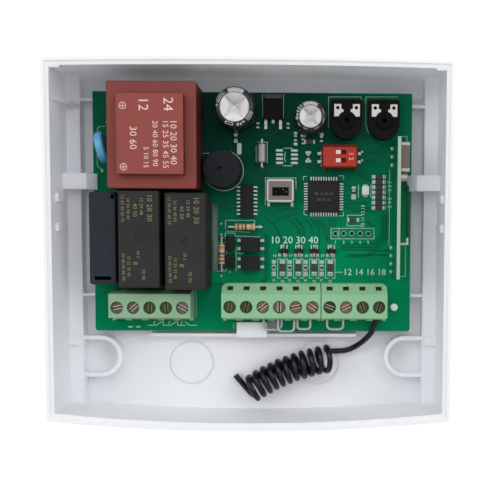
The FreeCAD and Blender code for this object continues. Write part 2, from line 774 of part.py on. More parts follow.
def terminals():
    for name, left, pitch, poles, rear_height, depth in terminal_blocks():
        export(name, [terminal_body(left, pitch, poles, rear_height, depth)])
    places = pole_places()
    export("terminal_cages", [cage(x, y) for x, y in places])
    turns = (12, 40, 85, 95, -30, 80, 78, 38, 88, 12, -35, -22, 25, -70, 72)
    for number, ((x, y), turn) in enumerate(zip(places, turns), 1):
        export("terminal_screw_%02d" % number, [terminal_screw(x, y, turn)])
    signal = [x for x, y in places[mains_poles:]]
    export("link_wires", [link_wire(a + link[0], b + link[1], *link[2:])
                          for a, b, link in zip(signal, signal[1:], signal_links) if link])


# Antenna
def bent_route(points):
    """Straight runs joined by tangent arcs, and the radius of each arc."""
    corners = [V(*p) for p in points]
    cuts, radii = [], []
    for before, here, after in zip(corners, corners[1:], corners[2:]):
        back, ahead = (before - here), (after - here)
        turn = math.pi - back.getAngle(ahead)
        run = min(back.Length, ahead.Length)
        radii.append(0.45 * run / math.tan(turn / 2))
        leave = here + back.normalize() * (0.45 * run)
        join_at = here + ahead.normalize() * (0.45 * run)
        middle = (leave + join_at) / 2
        arc_top = here + (middle - here) * ((1 / math.cos(turn / 2) - 1) * radii[-1] / (middle - here).Length)
        cuts.append((leave, arc_top, join_at))
    edges, at = [], corners[0]
    for leave, arc_top, join_at in cuts:
        edges.append(Part.LineSegment(at, leave).toShape())
        edges.append(Part.Arc(leave, arc_top, join_at).toShape())
        at = join_at
    edges.append(Part.LineSegment(at, corners[-1]).toShape())
    return Part.Wire(edges), radii


def tube(wire, start, direction, radius):
    return wire.makePipeShell([Part.Wire([Part.makeCircle(radius, start, direction)])], True, False)


def in_bay(x, share, z):
    """A point below the board, its depth in the wiring bay given as a share."""
    return x, board_edge_low - share * wiring_bay, z


def coil_middle(turns):
    """The coil's bowed middle line: its place and its direction, counted in turns."""
    t = turns / coil_turns
    coil_z = floor_z + coil_radius + antenna_radius + coil_lift
    start, pull, end = [V(*in_bay(x, share, coil_z)) for x, share in (coil_start, coil_pull, coil_end)]
    place = start * (1 - t) ** 2 + pull * (2 * t * (1 - t)) + end * t ** 2
    return place, ((pull - start) * (1 - t) + (end - pull) * t).normalize()


def coil_place(turns):
    """A point of the winding, counted in turns from the bottom of the first one."""
    middle, axis = coil_middle(turns)
    up = V(0, 0, 1)
    angle = math.pi + 2 * math.pi * turns
    radius = coil_radius + coil_wobble * math.sin(2.3 * turns)
    lean = coil_lean * max(0, 1 - turns / coil_lean_turns)
    return middle + up * (radius * math.cos(angle)) + up.cross(axis) * (radius * math.sin(angle)) - axis * (lean * math.cos(angle))


def coil_point(turns):
    step = 0.001
    return coil_place(turns), (coil_place(turns + step) - coil_place(turns - step)).normalize()


def arc_from(start, way, end):
    chord = end - start
    along = V(chord).normalize()
    angle = way.getAngle(along)
    if angle < 1e-7:
        return Part.LineSegment(start, end).toShape()
    bulge = (way - along * way.dot(along)).normalize()
    return Part.Arc(start, (start + end) / 2 + bulge * (chord.Length / 2 * math.tan(angle / 2)), end).toShape()


def biarc(p0, t0, p1, t1):
    """Two arcs that leave p0 along t0 and reach p1 along t1."""
    chord, both = p1 - p0, t0 + t1
    a = 2 * (1 - t0.dot(t1))
    b = chord.dot(both)
    reach = (-b + math.sqrt(b * b + a * chord.dot(chord))) / a
    meet = (p0 + p1 + (t0 - t1) * reach) / 2
    middle_way = (meet - p0 - t0 * reach).normalize()
    return [arc_from(p0, t0, meet), arc_from(meet, middle_way, p1)]


def antenna_coil():
    marks = [coil_point(i / 4) for i in range(1, coil_turns * 4)]
    low = coil_middle(0)[0].z - coil_radius
    first, first_way = V(*in_bay(*coil_entry, low)), V(*coil_entry_way, 0).normalize()
    last, last_way = V(*in_bay(*coil_leave, low)), V(*coil_leave_way, 0).normalize()
    marks = [(first, first_way)] + marks + [(last, last_way)]
    lead_in = first - first_way * (2 * antenna_radius + 0.3)
    edges = [Part.LineSegment(lead_in, first).toShape()]
    for (p0, t0), (p1, t1) in zip(marks, marks[1:]):
        edges += biarc(p0, t0, p1, t1)
    tip = last + last_way * coil_tail
    edges.append(Part.LineSegment(last, tip).toShape())
    wire = Part.Wire(edges)
    solid = tube(wire, lead_in, first_way, antenna_radius)
    area = math.pi * antenna_radius ** 2
    print("antenna coil length", round(wire.Length, 1), "volume by section", round(wire.Length * area, 1), "solid", round(solid.Volume, 1))
    print("antenna coil least gap", round(self_gap(wire), 2))
    return solid, lead_in, first_way, wire.Length


def self_gap(wire):
    """The least clear space between the winding and itself, measured on points."""
    points = wire.discretize(int(wire.Length / 0.4))
    step = wire.Length / (len(points) - 1)
    skip = int(2 * math.pi * coil_radius * 0.6 / step)
    least = min((points[i] - points[j]).Length for i in range(len(points)) for j in range(i + skip, len(points)))
    return least - 2 * antenna_radius


def antenna():
    coil, meet, way, coil_length = antenna_coil()
    export("antenna_coil", [coil])
    pad_x, pad_rise, pad_z = antenna_pad
    route = [(pad_x, board_edge_low + pad_rise, pad_z)] + [in_bay(*point) for point in antenna_points] + [tuple(meet)]
    wire, radii = bent_route(route)
    solid = tube(wire, V(*route[0]), V(*route[1]) - V(*route[0]), antenna_radius)
    area = math.pi * antenna_radius ** 2
    print("antenna lead radii", [round(r, 1) for r in radii], "length", round(wire.Length, 1),
          "volume by section", round(wire.Length * area, 1), "solid", round(solid.Volume, 1))
    print("antenna length in all", round(wire.Length + coil_length, 1))
    print("antenna route", [[round(c, 2) for c in p] for p in route])
    export("antenna_lead", [solid])


# Capacitors, regulator, trimmers, switch and buzzer
def turned(points, x, y):
    """A body turned about an upright axis, from radii and heights, with rounded corners written as points."""
    face = Part.Face(Part.makePolygon([V(x + r, y, z) for r, z in points + points[:1]]))
    return face.revolve(V(x, y, 0), V(0, 0, 1), 360)


def capacitor_pair():
    cans, sleeves = [], []
    for (x, y), radius, height, vent in capacitors:
        can_radius_here = radius - sleeve_thickness
        can = turned([(0, 0), (can_radius_here, 0), (can_radius_here, height - 1.2), (can_radius_here - 0.8, height - sleeve_thickness),
                      (0, height - sleeve_thickness)], x, y)
        for turn in (40, 130):
            groove = block((x, y), (2 * vent - 1, vent_groove, 1), height - sleeve_thickness - vent_depth)
            groove.rotate(V(x, y, 0), V(0, 0, 1), turn)
            can = can.cut(groove)
        sleeve = turned([(can_radius_here, 0), (radius, 0), (radius, height - 1.0), (radius - 0.75, height),
                         (vent, height), (vent, height - sleeve_thickness), (can_radius_here - 0.8, height - sleeve_thickness),
                         (can_radius_here, height - 1.2)], x, y)
        cans.append(can)
        sleeves.append(sleeve)
    export("capacitor_cans", cans)
    export("capacitor_sleeves", sleeves)


def regulator():
    x, y = regulator_center
    width, length, height = regulator_size
    tab_width, tab_length, tab_height = regulator_tab
    metal = [box(x - tab_width / 2, x + tab_width / 2, y + length / 2, y + length / 2 + tab_length, 0, tab_height)]
    for k in (-1, 0, 1):
        reach = regulator_leg_length if k else 1.0
        metal.append(gull_leg((x + k * regulator_leg_pitch, y - length / 2), -90, regulator_leg_width, reach, leg_lift))
    return [block(regulator_center, regulator_size)], metal


def gull_leg(root, turn, width, reach, lift):
    """A bent leg that leaves a body at root, heading along turn, and stands on the board."""
    t = leg_thickness
    knee = reach * 0.45
    outline = [(0, lift), (knee, lift), (knee, 0), (reach, 0), (reach, t), (knee + t, t), (knee + t, lift + t), (0, lift + t)]
    leg = prism([(x, -width / 2, z) for x, z in outline], (0, width, 0))
    leg.rotate(V(0, 0, 0), V(0, 0, 1), turn)
    return leg.translated(V(root[0], root[1], 0))


def side_legs(center, size, count, pitch, width, sides):
    """Rows of bent legs on the named sides of a chip, each side as the angle that it faces."""
    x, y = center
    legs = []
    for side in sides:
        out = size[0] / 2 if side in (0, 180) else size[1] / 2
        dx, dy = round(math.cos(math.radians(side))), round(math.sin(math.radians(side)))
        for i in range(count):
            shift = (i - (count - 1) / 2) * pitch
            legs.append(gull_leg((x + dx * out - dy * shift, y + dy * out + dx * shift), side, width, leg_reach, leg_lift))
    return legs


def chips():
    export("microcontroller", [block(micro_center, micro_size, 0.1)])
    packages, metal = regulator()
    packages += [block(driver_center, driver_size, 0.1)]
    packages += [block(center, opto_size, 0.1) for center in opto_centers]
    packages += [block(center, transistor_size) for center in transistor_centers]
    packages += [block(center, block_diode_size) for center in block_diodes]
    export("chip_packages", packages)
    legs = side_legs(micro_center, micro_size, micro_legs, micro_pitch, micro_leg_width, (0, 90, 180, 270))
    legs += side_legs(driver_center, driver_size, driver_legs, driver_pitch, driver_leg_width, (0, 180))
    for center in opto_centers:
        legs += side_legs(center, opto_size, opto_legs, opto_pitch, opto_leg_width, (0, 180))
    legs += side_legs(dip_center, dip_size, 2, dip_pitch, opto_leg_width, (0, 180))
    for center in transistor_centers:
        legs += side_legs(center, transistor_size, 2, 1.9, micro_leg_width, (90,))
        legs += side_legs(center, transistor_size, 1, 1.9, micro_leg_width, (270,))
    export("chip_legs", legs + metal)


def trimmer_shape(center):
    x, y = center
    low, r, top = y - trimmer_drop, trimmer_radius, y + trimmer_top
    body = rod(x, low, 0, trimmer_height, r).fuse(box(x - r, x + r, low, top, 0, trimmer_height)).removeSplitter()
    ledge, drop = trimmer_ledge
    cuts = [rod(x, y, trimmer_floor, trimmer_height + 1, trimmer_rotor_radius + running_gap),
            box(x - r, x + r, top - ledge, top + 1, trimmer_height - drop, trimmer_height + 1)]
    length, width, depth = trimmer_groove
    for side in (-1, 1):
        cuts.append(block((x + side * (r - length / 2), y + depth), (length, width, depth + 1), trimmer_height - depth))
    return body.cut(Part.makeCompound(cuts))


def trimmer_plates(center):
    x, y = center
    plates = []
    for side in (-1, 1):
        plate = prism([(x + side * px, y + py, trimmer_height) for px, py in trimmer_plate], (0, 0, trimmer_plate_thickness))
        hole_x, hole_y = x + side * trimmer_plate_hole_at[0], y + trimmer_plate_hole_at[1]
        plate = plate.cut(rod(x, y, 0, 2 * trimmer_height, trimmer_rotor_radius + seat_gap))
        plates.append(plate.cut(rod(hole_x, hole_y, 0, 2 * trimmer_height, trimmer_plate_hole)))
    return plates


def trimmer_rotor(center):
    x, y = center
    top = trimmer_height + trimmer_rotor_proud
    rotor = rod(x, y, trimmer_floor + 2 * touch_gap, top, trimmer_rotor_radius)
    rotor = rotor.cut(rod(x, y, trimmer_floor + 1, top + 1, trimmer_rotor_hole))
    mark = box(x - 0.25, x + 0.25, y + trimmer_rotor_hole, y + trimmer_rotor_radius - 0.3, top - 0.4, top + 1)
    return rotor.cut(mark)


def trimmers():
    export("trimmer_bodies", [trimmer_shape(center) for center in trimmer_centers])
    export("trimmer_terminals", [plate for center in trimmer_centers for plate in trimmer_plates(center)])
    for name, center in zip(("left", "right"), trimmer_centers):
        export("trimmer_rotor_%s" % name, [trimmer_rotor(center)])


def dip_switch():
    x, y = dip_center
    top = dip_size[2]
    body = block(dip_center, dip_size)
    body = body.makeFillet(dip_corner, upright_edges(body))
    body = body.makeFillet(dip_corner / 2, edges_at(body, top))
    slot_x = x + dip_slot_shift
    for number, side in ((1, 1), (2, -1)):
        row = y + side * dip_pitch / 2
        body = body.cut(block((slot_x, row), (dip_slot[0], dip_slot[1], dip_slot[2] + 1), top - dip_slot[2]))
        left = slot_x - dip_slot[0] / 2 + 0.1
        export("dip_lever_%d" % number, [box(left, left + dip_lever[0], row - dip_lever[1] / 2, row + dip_lever[1] / 2,
                                             top - dip_slot[2] + 0.1, top + dip_lever_proud)])
    export("dip_switch_body", [body])


def buzzer():
    x, y = buzzer_center
    shell = rod(x, y, 0, buzzer_height, buzzer_radius)
    shell = shell.makeFillet(0.6, edges_at(shell, buzzer_height))
    room = rod(x, y, buzzer_wall, buzzer_height - buzzer_wall, buzzer_radius - buzzer_wall)
    hole = rod(x - buzzer_hole_shift, y, buzzer_height - 2, buzzer_height + 1, buzzer_hole)
    export("buzzer_case", [shell.cut(room).cut(hole)])
    disc = rod(x, y, buzzer_disc_height, buzzer_disc_height + buzzer_disc_thickness, buzzer_radius - buzzer_wall - touch_gap)
    magnet = rod(x, y, buzzer_wall, buzzer_disc_height - seat_gap, buzzer_magnet_radius)
    export("buzzer_diaphragm", [disc, magnet])


# Parts on wire legs, chip parts and the receiver
def lead_places():
    """Where the wire legs of the lying parts go through the board."""
    places = [(can_center[0], can_center[1] + side * (can_length / 2 + can_lead)) for side in (-1, 1)]
    for (x, y), turn in resistors:
        reach = resistor_length / 2 + resistor_lead
        dx, dy = math.cos(math.radians(turn)), math.sin(math.radians(turn))
        places += [(x - dx * reach, y - dy * reach), (x + dx * reach, y + dy * reach)]
    return places


def bent_leads(center, turn, half_body, half_reach, height):
    """Two wire legs: out along the axis, then down through the board."""
    x, y = center
    legs = []
    for side in (-1, 1):
        along = rod_along((side * half_body, 0, height), (side, 0, 0), half_reach - half_body, lead_radius)
        down = rod(side * half_reach, 0, -board_thickness - pin_tail, height, lead_radius)
        knee = Part.makeSphere(lead_radius, V(side * half_reach, 0, height))
        leg = along.fuse(down).fuse(knee).removeSplitter()
        leg.rotate(V(0, 0, 0), V(0, 0, 1), turn)
        legs.append(leg.translated(V(x, y, 0)))
    return legs


def lying_parts():
    x, y = can_center
    can = rod_along((x, y - can_length / 2, can_radius + 0.1), (0, 1, 0), can_length, can_radius)
    export("can_diode", [can.makeFillet(0.35, [e for e in can.Edges if e.Curve.TypeId == "Part::GeomCircle"])])
    bodies = []
    leads = bent_leads(can_center, 90, can_length / 2, can_length / 2 + can_lead, can_radius + 0.1)
    for (rx, ry), turn in resistors:
        height = resistor_radius + 0.2
        neck = resistor_radius - 0.15
        body = rod_along((-resistor_length / 2, 0, height), (1, 0, 0), resistor_length, neck)
        for end in (-1, 1):
            start = end * resistor_length / 2 - (1.7 if end > 0 else 0)
            bulb = rod_along((start, 0, height), (1, 0, 0), 1.7, resistor_radius)
            body = body.fuse(bulb.makeFillet(0.5, [e for e in bulb.Edges if e.Curve.TypeId == "Part::GeomCircle"]))
        body.rotate(V(0, 0, 0), V(0, 0, 1), turn)
        bodies.append(body.translated(V(rx, ry, 0)))
        leads += bent_leads((rx, ry), turn, resistor_length / 2, resistor_length / 2 + resistor_lead, height)
    export("axial_resistors", bodies)
    export("wire_leads", leads)


def varistor():
    x, y = varistor_center
    disc = rod_along((x - varistor_thickness / 2, y, varistor_radius + varistor_lift), (1, 0, 0), varistor_thickness, varistor_radius)
    disc = disc.makeFillet(varistor_thickness * 0.35, [e for e in disc.Edges if e.Curve.TypeId == "Part::GeomCircle"])
    disc.rotate(V(x, y, 0), V(0, 0, 1), varistor_turn)
    legs = []
    for side in (-1, 1):
        leg = rod(x, y + side * 3.5, 0, varistor_radius + varistor_lift, lead_radius)
        legs.append(leg.cut(disc))
    export("varistor", [disc] + legs)


def crystal():
    x, y = crystal_center
    can = block(crystal_center, crystal_size)
    can = can.makeFillet(crystal_corner, upright_edges(can))
    can = can.makeFillet(0.4, edges_at(can, crystal_size[2]))
    legs = [gull_leg((x + side * crystal_leg_spread / 2, y - crystal_size[1] / 2), -90, crystal_leg_width, crystal_leg_length, leg_lift)
            for side in (-1, 1)]
    export("crystal_can", [can] + legs)


def chip_parts():
    solids = [block((x, chip_column_y), chip_large) for x in chip_column_xs]
    solids += [block((x - chip_column_spread, chip_column_y), chip_small) for x in chip_column_xs]
    first = chip_stack_y + chip_stack_pitch * (chip_stack_count - 1) / 2
    solids += [block((chip_stack_x, first - i * chip_stack_pitch), chip_flat) for i in range(chip_stack_count)]
    solids += [block(center, chip_small) for center in loose_chips]
    solids += [block(center, chip_flat) for center in flat_chips]
    export("chip_parts", solids)
    export("status_led", [block(led_center, led_size)])


def receiver():
    low, high = receiver_y - receiver_length / 2, receiver_y + receiver_length / 2
    face = receiver_x + receiver_thickness / 2
    export("receiver_board", [box(receiver_x - receiver_thickness / 2, face, low, high, 0, receiver_height)])
    can_low = receiver_height - receiver_can_top_gap - receiver_can_size[2]
    can = block((face + receiver_can_size[0] / 2, receiver_can_y), receiver_can_size, can_low)
    coil = rod_along((face, receiver_coil_y, receiver_height - 3.4), (1, 0, 0), 2.2, receiver_coil_radius)
    z = receiver_height - 1.6
    loop = []
    far = face + receiver_loop_reach
    for y in (receiver_loop_y, receiver_loop_y - receiver_loop_length):
        loop.append(rod_along((face, y, z), (1, 0, 0), receiver_loop_reach, wire_radius))
        loop.append(Part.makeSphere(wire_radius, V(far, y, z)))
    loop.append(rod_along((far, receiver_loop_y - receiver_loop_length, z), (0, 1, 0), receiver_loop_length, wire_radius))
    export("receiver_parts", [can.makeFillet(0.4, edges_at(can, can_low + receiver_can_size[2])), coil, join(loop)])


export("enclosure_base", [enclosure_base()], on_board=False)
export("circuit_board", [circuit_board()])
export("component_pins", component_pins())
transformer()
relays()
fuse_group()
terminals()
antenna()
capacitor_pair()
chips()
trimmers()
dip_switch()
buzzer()
lying_parts()
varistor()
crystal()
chip_parts()
receiver()
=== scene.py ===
import bpy
import math
from mathutils import Matrix, Vector


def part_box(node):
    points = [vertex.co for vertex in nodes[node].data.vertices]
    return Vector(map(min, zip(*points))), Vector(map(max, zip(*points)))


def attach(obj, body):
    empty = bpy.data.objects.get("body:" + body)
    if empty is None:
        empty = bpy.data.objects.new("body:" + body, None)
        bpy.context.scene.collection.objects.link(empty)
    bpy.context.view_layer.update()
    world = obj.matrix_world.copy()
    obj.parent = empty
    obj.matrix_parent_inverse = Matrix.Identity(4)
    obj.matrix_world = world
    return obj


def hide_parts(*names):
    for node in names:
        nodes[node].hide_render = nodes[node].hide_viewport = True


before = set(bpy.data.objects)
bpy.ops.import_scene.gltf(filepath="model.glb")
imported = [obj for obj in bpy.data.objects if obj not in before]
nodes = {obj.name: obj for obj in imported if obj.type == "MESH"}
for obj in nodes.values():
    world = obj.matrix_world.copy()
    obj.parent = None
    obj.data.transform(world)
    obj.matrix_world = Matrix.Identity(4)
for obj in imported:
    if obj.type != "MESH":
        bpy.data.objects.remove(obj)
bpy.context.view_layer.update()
print("frame loaded with", len(nodes), "nodes")

mm = 0.001
boardRise = 10.4    # the board's middle above the tray's middle
boardTop = 8.0      # the board's top face above the tray's back


def onBoard(x, y, z=0.0):
    # board millimetres to scene metres
    return Vector((x, y + boardRise, z + boardTop)) * mm


def deselectAll():
    if bpy.context.object and bpy.context.object.mode != "OBJECT":
        bpy.ops.object.mode_set(mode="OBJECT")
    bpy.ops.object.select_all(action="DESELECT")


def activate(obj):
    deselectAll()
    obj.select_set(True)
    bpy.context.view_layer.objects.active = obj


def settle(obj):
    # moves an object's place into its mesh
    activate(obj)
    bpy.ops.object.transform_apply(location=True, rotation=True, scale=True)


def copyOf(obj, name, matrix):
    fresh = obj.copy()
    fresh.data = obj.data.copy()
    fresh.data.transform(matrix)
    fresh.name = name
    bpy.context.scene.collection.objects.link(fresh)
    return fresh


def joinAll(objects, name):
    deselectAll()
    for obj in objects:
        obj.select_set(True)
    bpy.context.view_layer.objects.active = objects[0]
    if len(objects) > 1:
        bpy.ops.object.join()
    objects[0].name = name
    objects[0].data.name = name
    return objects[0]


def discard(obj):
    bpy.data.objects.remove(obj, do_unlink=True)


def smooth(obj, angle=40):
    activate(obj)
    bpy.ops.object.shade_smooth_by_angle(angle=math.radians(angle))


# materials

def grainGroup():
    # patches of shade over a surface, and fine grain for its bump
    group = bpy.data.node_groups.new("surfaceGrain", "ShaderNodeTree")
    face = group.interface
    for name, kind in (("Vector", "NodeSocketVector"), ("Colour", "NodeSocketColor"),
                       ("Shade Shift", "NodeSocketFloat"), ("Roughness", "NodeSocketFloat"),
                       ("Roughness Shift", "NodeSocketFloat"), ("Patch Scale", "NodeSocketFloat"),
                       ("Grain Scale", "NodeSocketFloat")):
        face.new_socket(name=name, in_out="INPUT", socket_type=kind)
    for name, kind in (("Colour", "NodeSocketColor"), ("Roughness", "NodeSocketFloat"),
                       ("Height", "NodeSocketFloat")):
        face.new_socket(name=name, in_out="OUTPUT", socket_type=kind)
    made, link = group.nodes, group.links
    start, end = made.new("NodeGroupInput"), made.new("NodeGroupOutput")
    patch, grain = made.new("ShaderNodeTexNoise"), made.new("ShaderNodeTexNoise")
    patch.inputs["Detail"].default_value = 3.0
    grain.inputs["Detail"].default_value = 2.0
    link.new(start.outputs["Vector"], patch.inputs["Vector"])
    link.new(start.outputs["Vector"], grain.inputs["Vector"])
    link.new(start.outputs["Patch Scale"], patch.inputs["Scale"])
    link.new(start.outputs["Grain Scale"], grain.inputs["Scale"])
    centred = made.new("ShaderNodeMath")
    centred.operation = "SUBTRACT"
    centred.inputs[1].default_value = 0.5
    link.new(patch.outputs["Fac"], centred.inputs[0])
    shade = made.new("ShaderNodeMath")
    shade.operation = "MULTIPLY_ADD"
    shade.inputs[2].default_value = 1.0
    link.new(centred.outputs[0], shade.inputs[0])
    link.new(start.outputs["Shade Shift"], shade.inputs[1])
    tint = made.new("ShaderNodeVectorMath")
    tint.operation = "SCALE"
    link.new(start.outputs["Colour"], tint.inputs[0])
    link.new(shade.outputs[0], tint.inputs["Scale"])
    rough = made.new("ShaderNodeMath")
    rough.operation = "MULTIPLY_ADD"
    link.new(centred.outputs[0], rough.inputs[0])
    link.new(start.outputs["Roughness Shift"], rough.inputs[1])
    link.new(start.outputs["Roughness"], rough.inputs[2])
    link.new(tint.outputs[0], end.inputs["Colour"])
    link.new(rough.outputs[0], end.inputs["Roughness"])
    link.new(grain.outputs["Fac"], end.inputs["Height"])
    return group


surfaceGrain = grainGroup()


def makeMaterial(name, colour, roughness=0.5, metallic=0.0, shadeShift=0.25, roughShift=0.2, patch=180.0,
                 grain=4000.0, bump=0.15, bumpDepth=0.00003, specular=0.5, coat=0.0):
    material = bpy.data.materials.new(name)
    material.use_nodes = True
    made, link = material.node_tree.nodes, material.node_tree.links
    shader = made["Principled BSDF"]
    where = made.new("ShaderNodeTexCoord")
    surface = made.new("ShaderNodeGroup")
    surface.node_tree = surfaceGrain
    surface.name = "surface"
    surface.inputs["Colour"].default_value = (*colour, 1.0)
    surface.inputs["Shade Shift"].default_value = shadeShift
    surface.inputs["Roughness"].default_value = roughness
    surface.inputs["Roughness Shift"].default_value = roughShift
    surface.inputs["Patch Scale"].default_value = patch
    surface.inputs["Grain Scale"].default_value = grain
    relief = made.new("ShaderNodeBump")
    relief.inputs["Strength"].default_value = bump
    relief.inputs["Distance"].default_value = bumpDepth
    link.new(where.outputs["Object"], surface.inputs["Vector"])
    link.new(surface.outputs["Colour"], shader.inputs["Base Color"])
    link.new(surface.outputs["Roughness"], shader.inputs["Roughness"])
    link.new(surface.outputs["Height"], relief.inputs["Height"])
    link.new(relief.outputs["Normal"], shader.inputs["Normal"])
    shader.inputs["Metallic"].default_value = metallic
    shader.inputs["Specular IOR Level"].default_value = specular
    shader.inputs["Coat Weight"].default_value = coat
    shader.inputs["Coat Roughness"].default_value = 0.15
    return material


def maskedColour(material, maskOutput, other):
    # puts another colour over a material's own where a mask is white
    made, link = material.node_tree.nodes, material.node_tree.links
    shader = made["Principled BSDF"]
    under = shader.inputs["Base Color"].links[0].from_socket
    mix = made.new("ShaderNodeMix")
    mix.data_type = "RGBA"
    link.new(maskOutput, mix.inputs["Factor"])
    link.new(under, mix.inputs["A"])
    if hasattr(other, "links"):
        link.new(other, mix.inputs["B"])
    else:
        mix.inputs["B"].default_value = (*other, 1.0)
    link.new(mix.outputs["Result"], shader.inputs["Base Color"])


def mathNode(material, operation, first, second=None, third=None, clamp=False):
    made, link = material.node_tree.nodes, material.node_tree.links
    node = made.new("ShaderNodeMath")
    node.operation = operation
    node.use_clamp = clamp
    for slot, value in enumerate((first, second, third)):
        if value is None:
            continue
        if hasattr(value, "links"):
            link.new(value, node.inputs[slot])
        else:
            node.inputs[slot].default_value = value
    return node.outputs[0]


def axesOf(material, centre=(0, 0, 0)):
    # the object's own coordinates round a point, split in three
    made, link = material.node_tree.nodes, material.node_tree.links
    where = made.new("ShaderNodeTexCoord")
    shift = made.new("ShaderNodeVectorMath")
    shift.operation = "SUBTRACT"
    shift.inputs[1].default_value = centre
    parts = made.new("ShaderNodeSeparateXYZ")
    link.new(where.outputs["Object"], shift.inputs[0])
    link.new(shift.outputs[0], parts.inputs[0])
    return parts.outputs


def facing(material):
    # the direction that a face looks in, split in three
    made, link = material.node_tree.nodes, material.node_tree.links
    where = made.new("ShaderNodeTexCoord")
    parts = made.new("ShaderNodeSeparateXYZ")
    link.new(where.outputs["Normal"], parts.inputs[0])
    return parts.outputs


# masks, white where the words are true

def both(material, first, second):
    return mathNode(material, "MULTIPLY", first, second)


def lessThan(material, value, limit):
    return mathNode(material, "LESS_THAN", value, limit)


def moreThan(material, value, limit):
    return mathNode(material, "GREATER_THAN", value, limit)


def between(material, value, low, high):
    return both(material, moreThan(material, value, low), lessThan(material, value, high))


def within(material, value, half):
    return lessThan(material, mathNode(material, "ABSOLUTE", value), half)


def distance(material, x, y):
    squares = [mathNode(material, "MULTIPLY", side, side) for side in (x, y)]
    return mathNode(material, "SQRT", mathNode(material, "ADD", *squares))


def whitePlastic():
    # light soaks a few millimetres into the thin pale walls
    settings = {"colour": (0.87, 0.88, 0.92), "soak": 0.45, "soakDepth": 0.004}
    material = makeMaterial("whitePlastic", settings["colour"], roughness=0.55, shadeShift=0.03,
                            roughShift=0.1, patch=60, grain=2600, bump=0.12, bumpDepth=0.00004, specular=0.4)
    surface = material.node_tree.nodes["Principled BSDF"]
    surface.inputs["Subsurface Weight"].default_value = settings["soak"]
    surface.inputs["Subsurface Radius"].default_value = (1.0, 1.0, 1.0)
    surface.inputs["Subsurface Scale"].default_value = settings["soakDepth"]
    return material


def boardMask(name, faceAxis, edge):
    # solder mask over copper, painted darker round the tall parts at the board's top, partly painted shade
    # and partly a darker board there; the cut edges show fibre
    settings = {"copper": (0.0002, 0.225, 0.092), "shadeAndDarkBoard": (0.0004, 0.045, 0.027),
                "shadePatchCentre": (-4.0, 31.0), "shadePatchReach": (0.016, 0.052), "shadePatchSquash": 0.72}
    material = makeMaterial(name, settings["copper"], roughness=0.4, shadeShift=0.22, roughShift=0.15,
                            patch=70, grain=2500, bump=0.2, bumpDepth=0.00003, specular=0.03)
    x, y = axesOf(material, onBoard(*settings["shadePatchCentre"]))[:2]
    away = distance(material, mathNode(material, "MULTIPLY", x, settings["shadePatchSquash"]), y)
    near, far = settings["shadePatchReach"]
    # painted shade with darker board, fading out away from the tall parts
    shadeAndDarkPatch = mathNode(material, "DIVIDE", mathNode(material, "SUBTRACT", far, away), far - near, clamp=True)
    maskedColour(material, shadeAndDarkPatch, settings["shadeAndDarkBoard"])
    cutEdge = within(material, facing(material)[faceAxis], 0.5)
    maskedColour(material, cutEdge, edge)
    return material


def canTop(name, centre, paintedWedgeShades):
    # bright rolled aluminium; each wedge between the vent grooves painted lighter or darker, as painted
    # shade for its slant to the light
    material = makeMaterial(name, (0.62, 0.63, 0.64), roughness=0.4, metallic=0.05, shadeShift=0.10,
                            patch=400, grain=7000, bump=0.1, bumpDepth=0.00001)
    x, y = axesOf(material, centre)[:2]
    angle = mathNode(material, "ARCTAN2", y, x)
    strength, blue = 0.85, 1.02
    for low, high, shade in paintedWedgeShades:
        shadedWedge = between(material, angle, math.radians(low), math.radians(high))
        maskedColour(material, both(material, shadedWedge, strength), (shade, shade, shade * blue))
    return material


def stripedSleeve(name, centre, height, marks):
    # shrink sleeve with pale printed strokes round its shoulder, each by angle and radius
    settings = {"colour": (0.009, 0.009, 0.012), "shoulder": 1.3, "blue": 1.03}
    material = makeMaterial(name, settings["colour"], roughness=0.3, shadeShift=0.4, patch=300, grain=3000,
                            bump=0.08, specular=0.4)
    x, y, z = axesOf(material, centre)
    angle = mathNode(material, "ARCTAN2", y, x)
    radius = distance(material, x, y)
    shoulder = moreThan(material, z, (height - settings["shoulder"]) * mm)
    for low, high, inner, outer, shade in marks:
        turn = between(material, angle, math.radians(low), math.radians(high))
        mark = both(material, turn, between(material, radius, inner * mm, outer * mm))
        maskedColour(material, both(material, mark, shoulder), (shade, shade, shade * settings["blue"]))
    return material


def dress(material, *names):
    for name in names:
        for slot in nodes[name].material_slots:
            slot.material = material


def bandedBody(name):
    # lacquered resistor with its colour bands, one body along X and one along Y
    settings = {"lacquer": (0.50, 0.40, 0.27), "bodies": (((-2.4, -4.5), 0), ((-9.85, -13.1), 1)),
                "halfLength": 3.4, "halfWidth": 2.0,
                "bands": ((-2.1, 0.35, (0.20, 0.09, 0.03)), (-0.9, 0.3, (0.28, 0.12, 0.03)),
                          (0.2, 0.3, (0.10, 0.05, 0.03)), (2.2, 0.35, (0.36, 0.22, 0.05)))}
    material = makeMaterial(name, settings["lacquer"], roughness=0.4, shadeShift=0.2, patch=500, grain=5000,
                            bump=0.1)
    for centre, along in settings["bodies"]:
        parts = axesOf(material, onBoard(*centre))
        near = both(material, within(material, parts[1 - along], settings["halfWidth"] * mm),
                    within(material, parts[along], settings["halfLength"] * mm))
        for place, half, colour in settings["bands"]:
            away = mathNode(material, "SUBTRACT", parts[along], place * mm)
            maskedColour(material, both(material, within(material, away, half * mm), near), colour)
    return material


def tinPlate(name):
    return makeMaterial(name, (0.50, 0.52, 0.51), roughness=0.42, metallic=0.6, shadeShift=0.4, patch=900,
                        grain=6000, specular=0.3)


def clearGlass(name):
    material = makeMaterial(name, (0.80, 0.86, 0.86), roughness=0.08, shadeShift=0.05)
    material.node_tree.nodes["Principled BSDF"].inputs["Transmission Weight"].default_value = 0.9
    return material


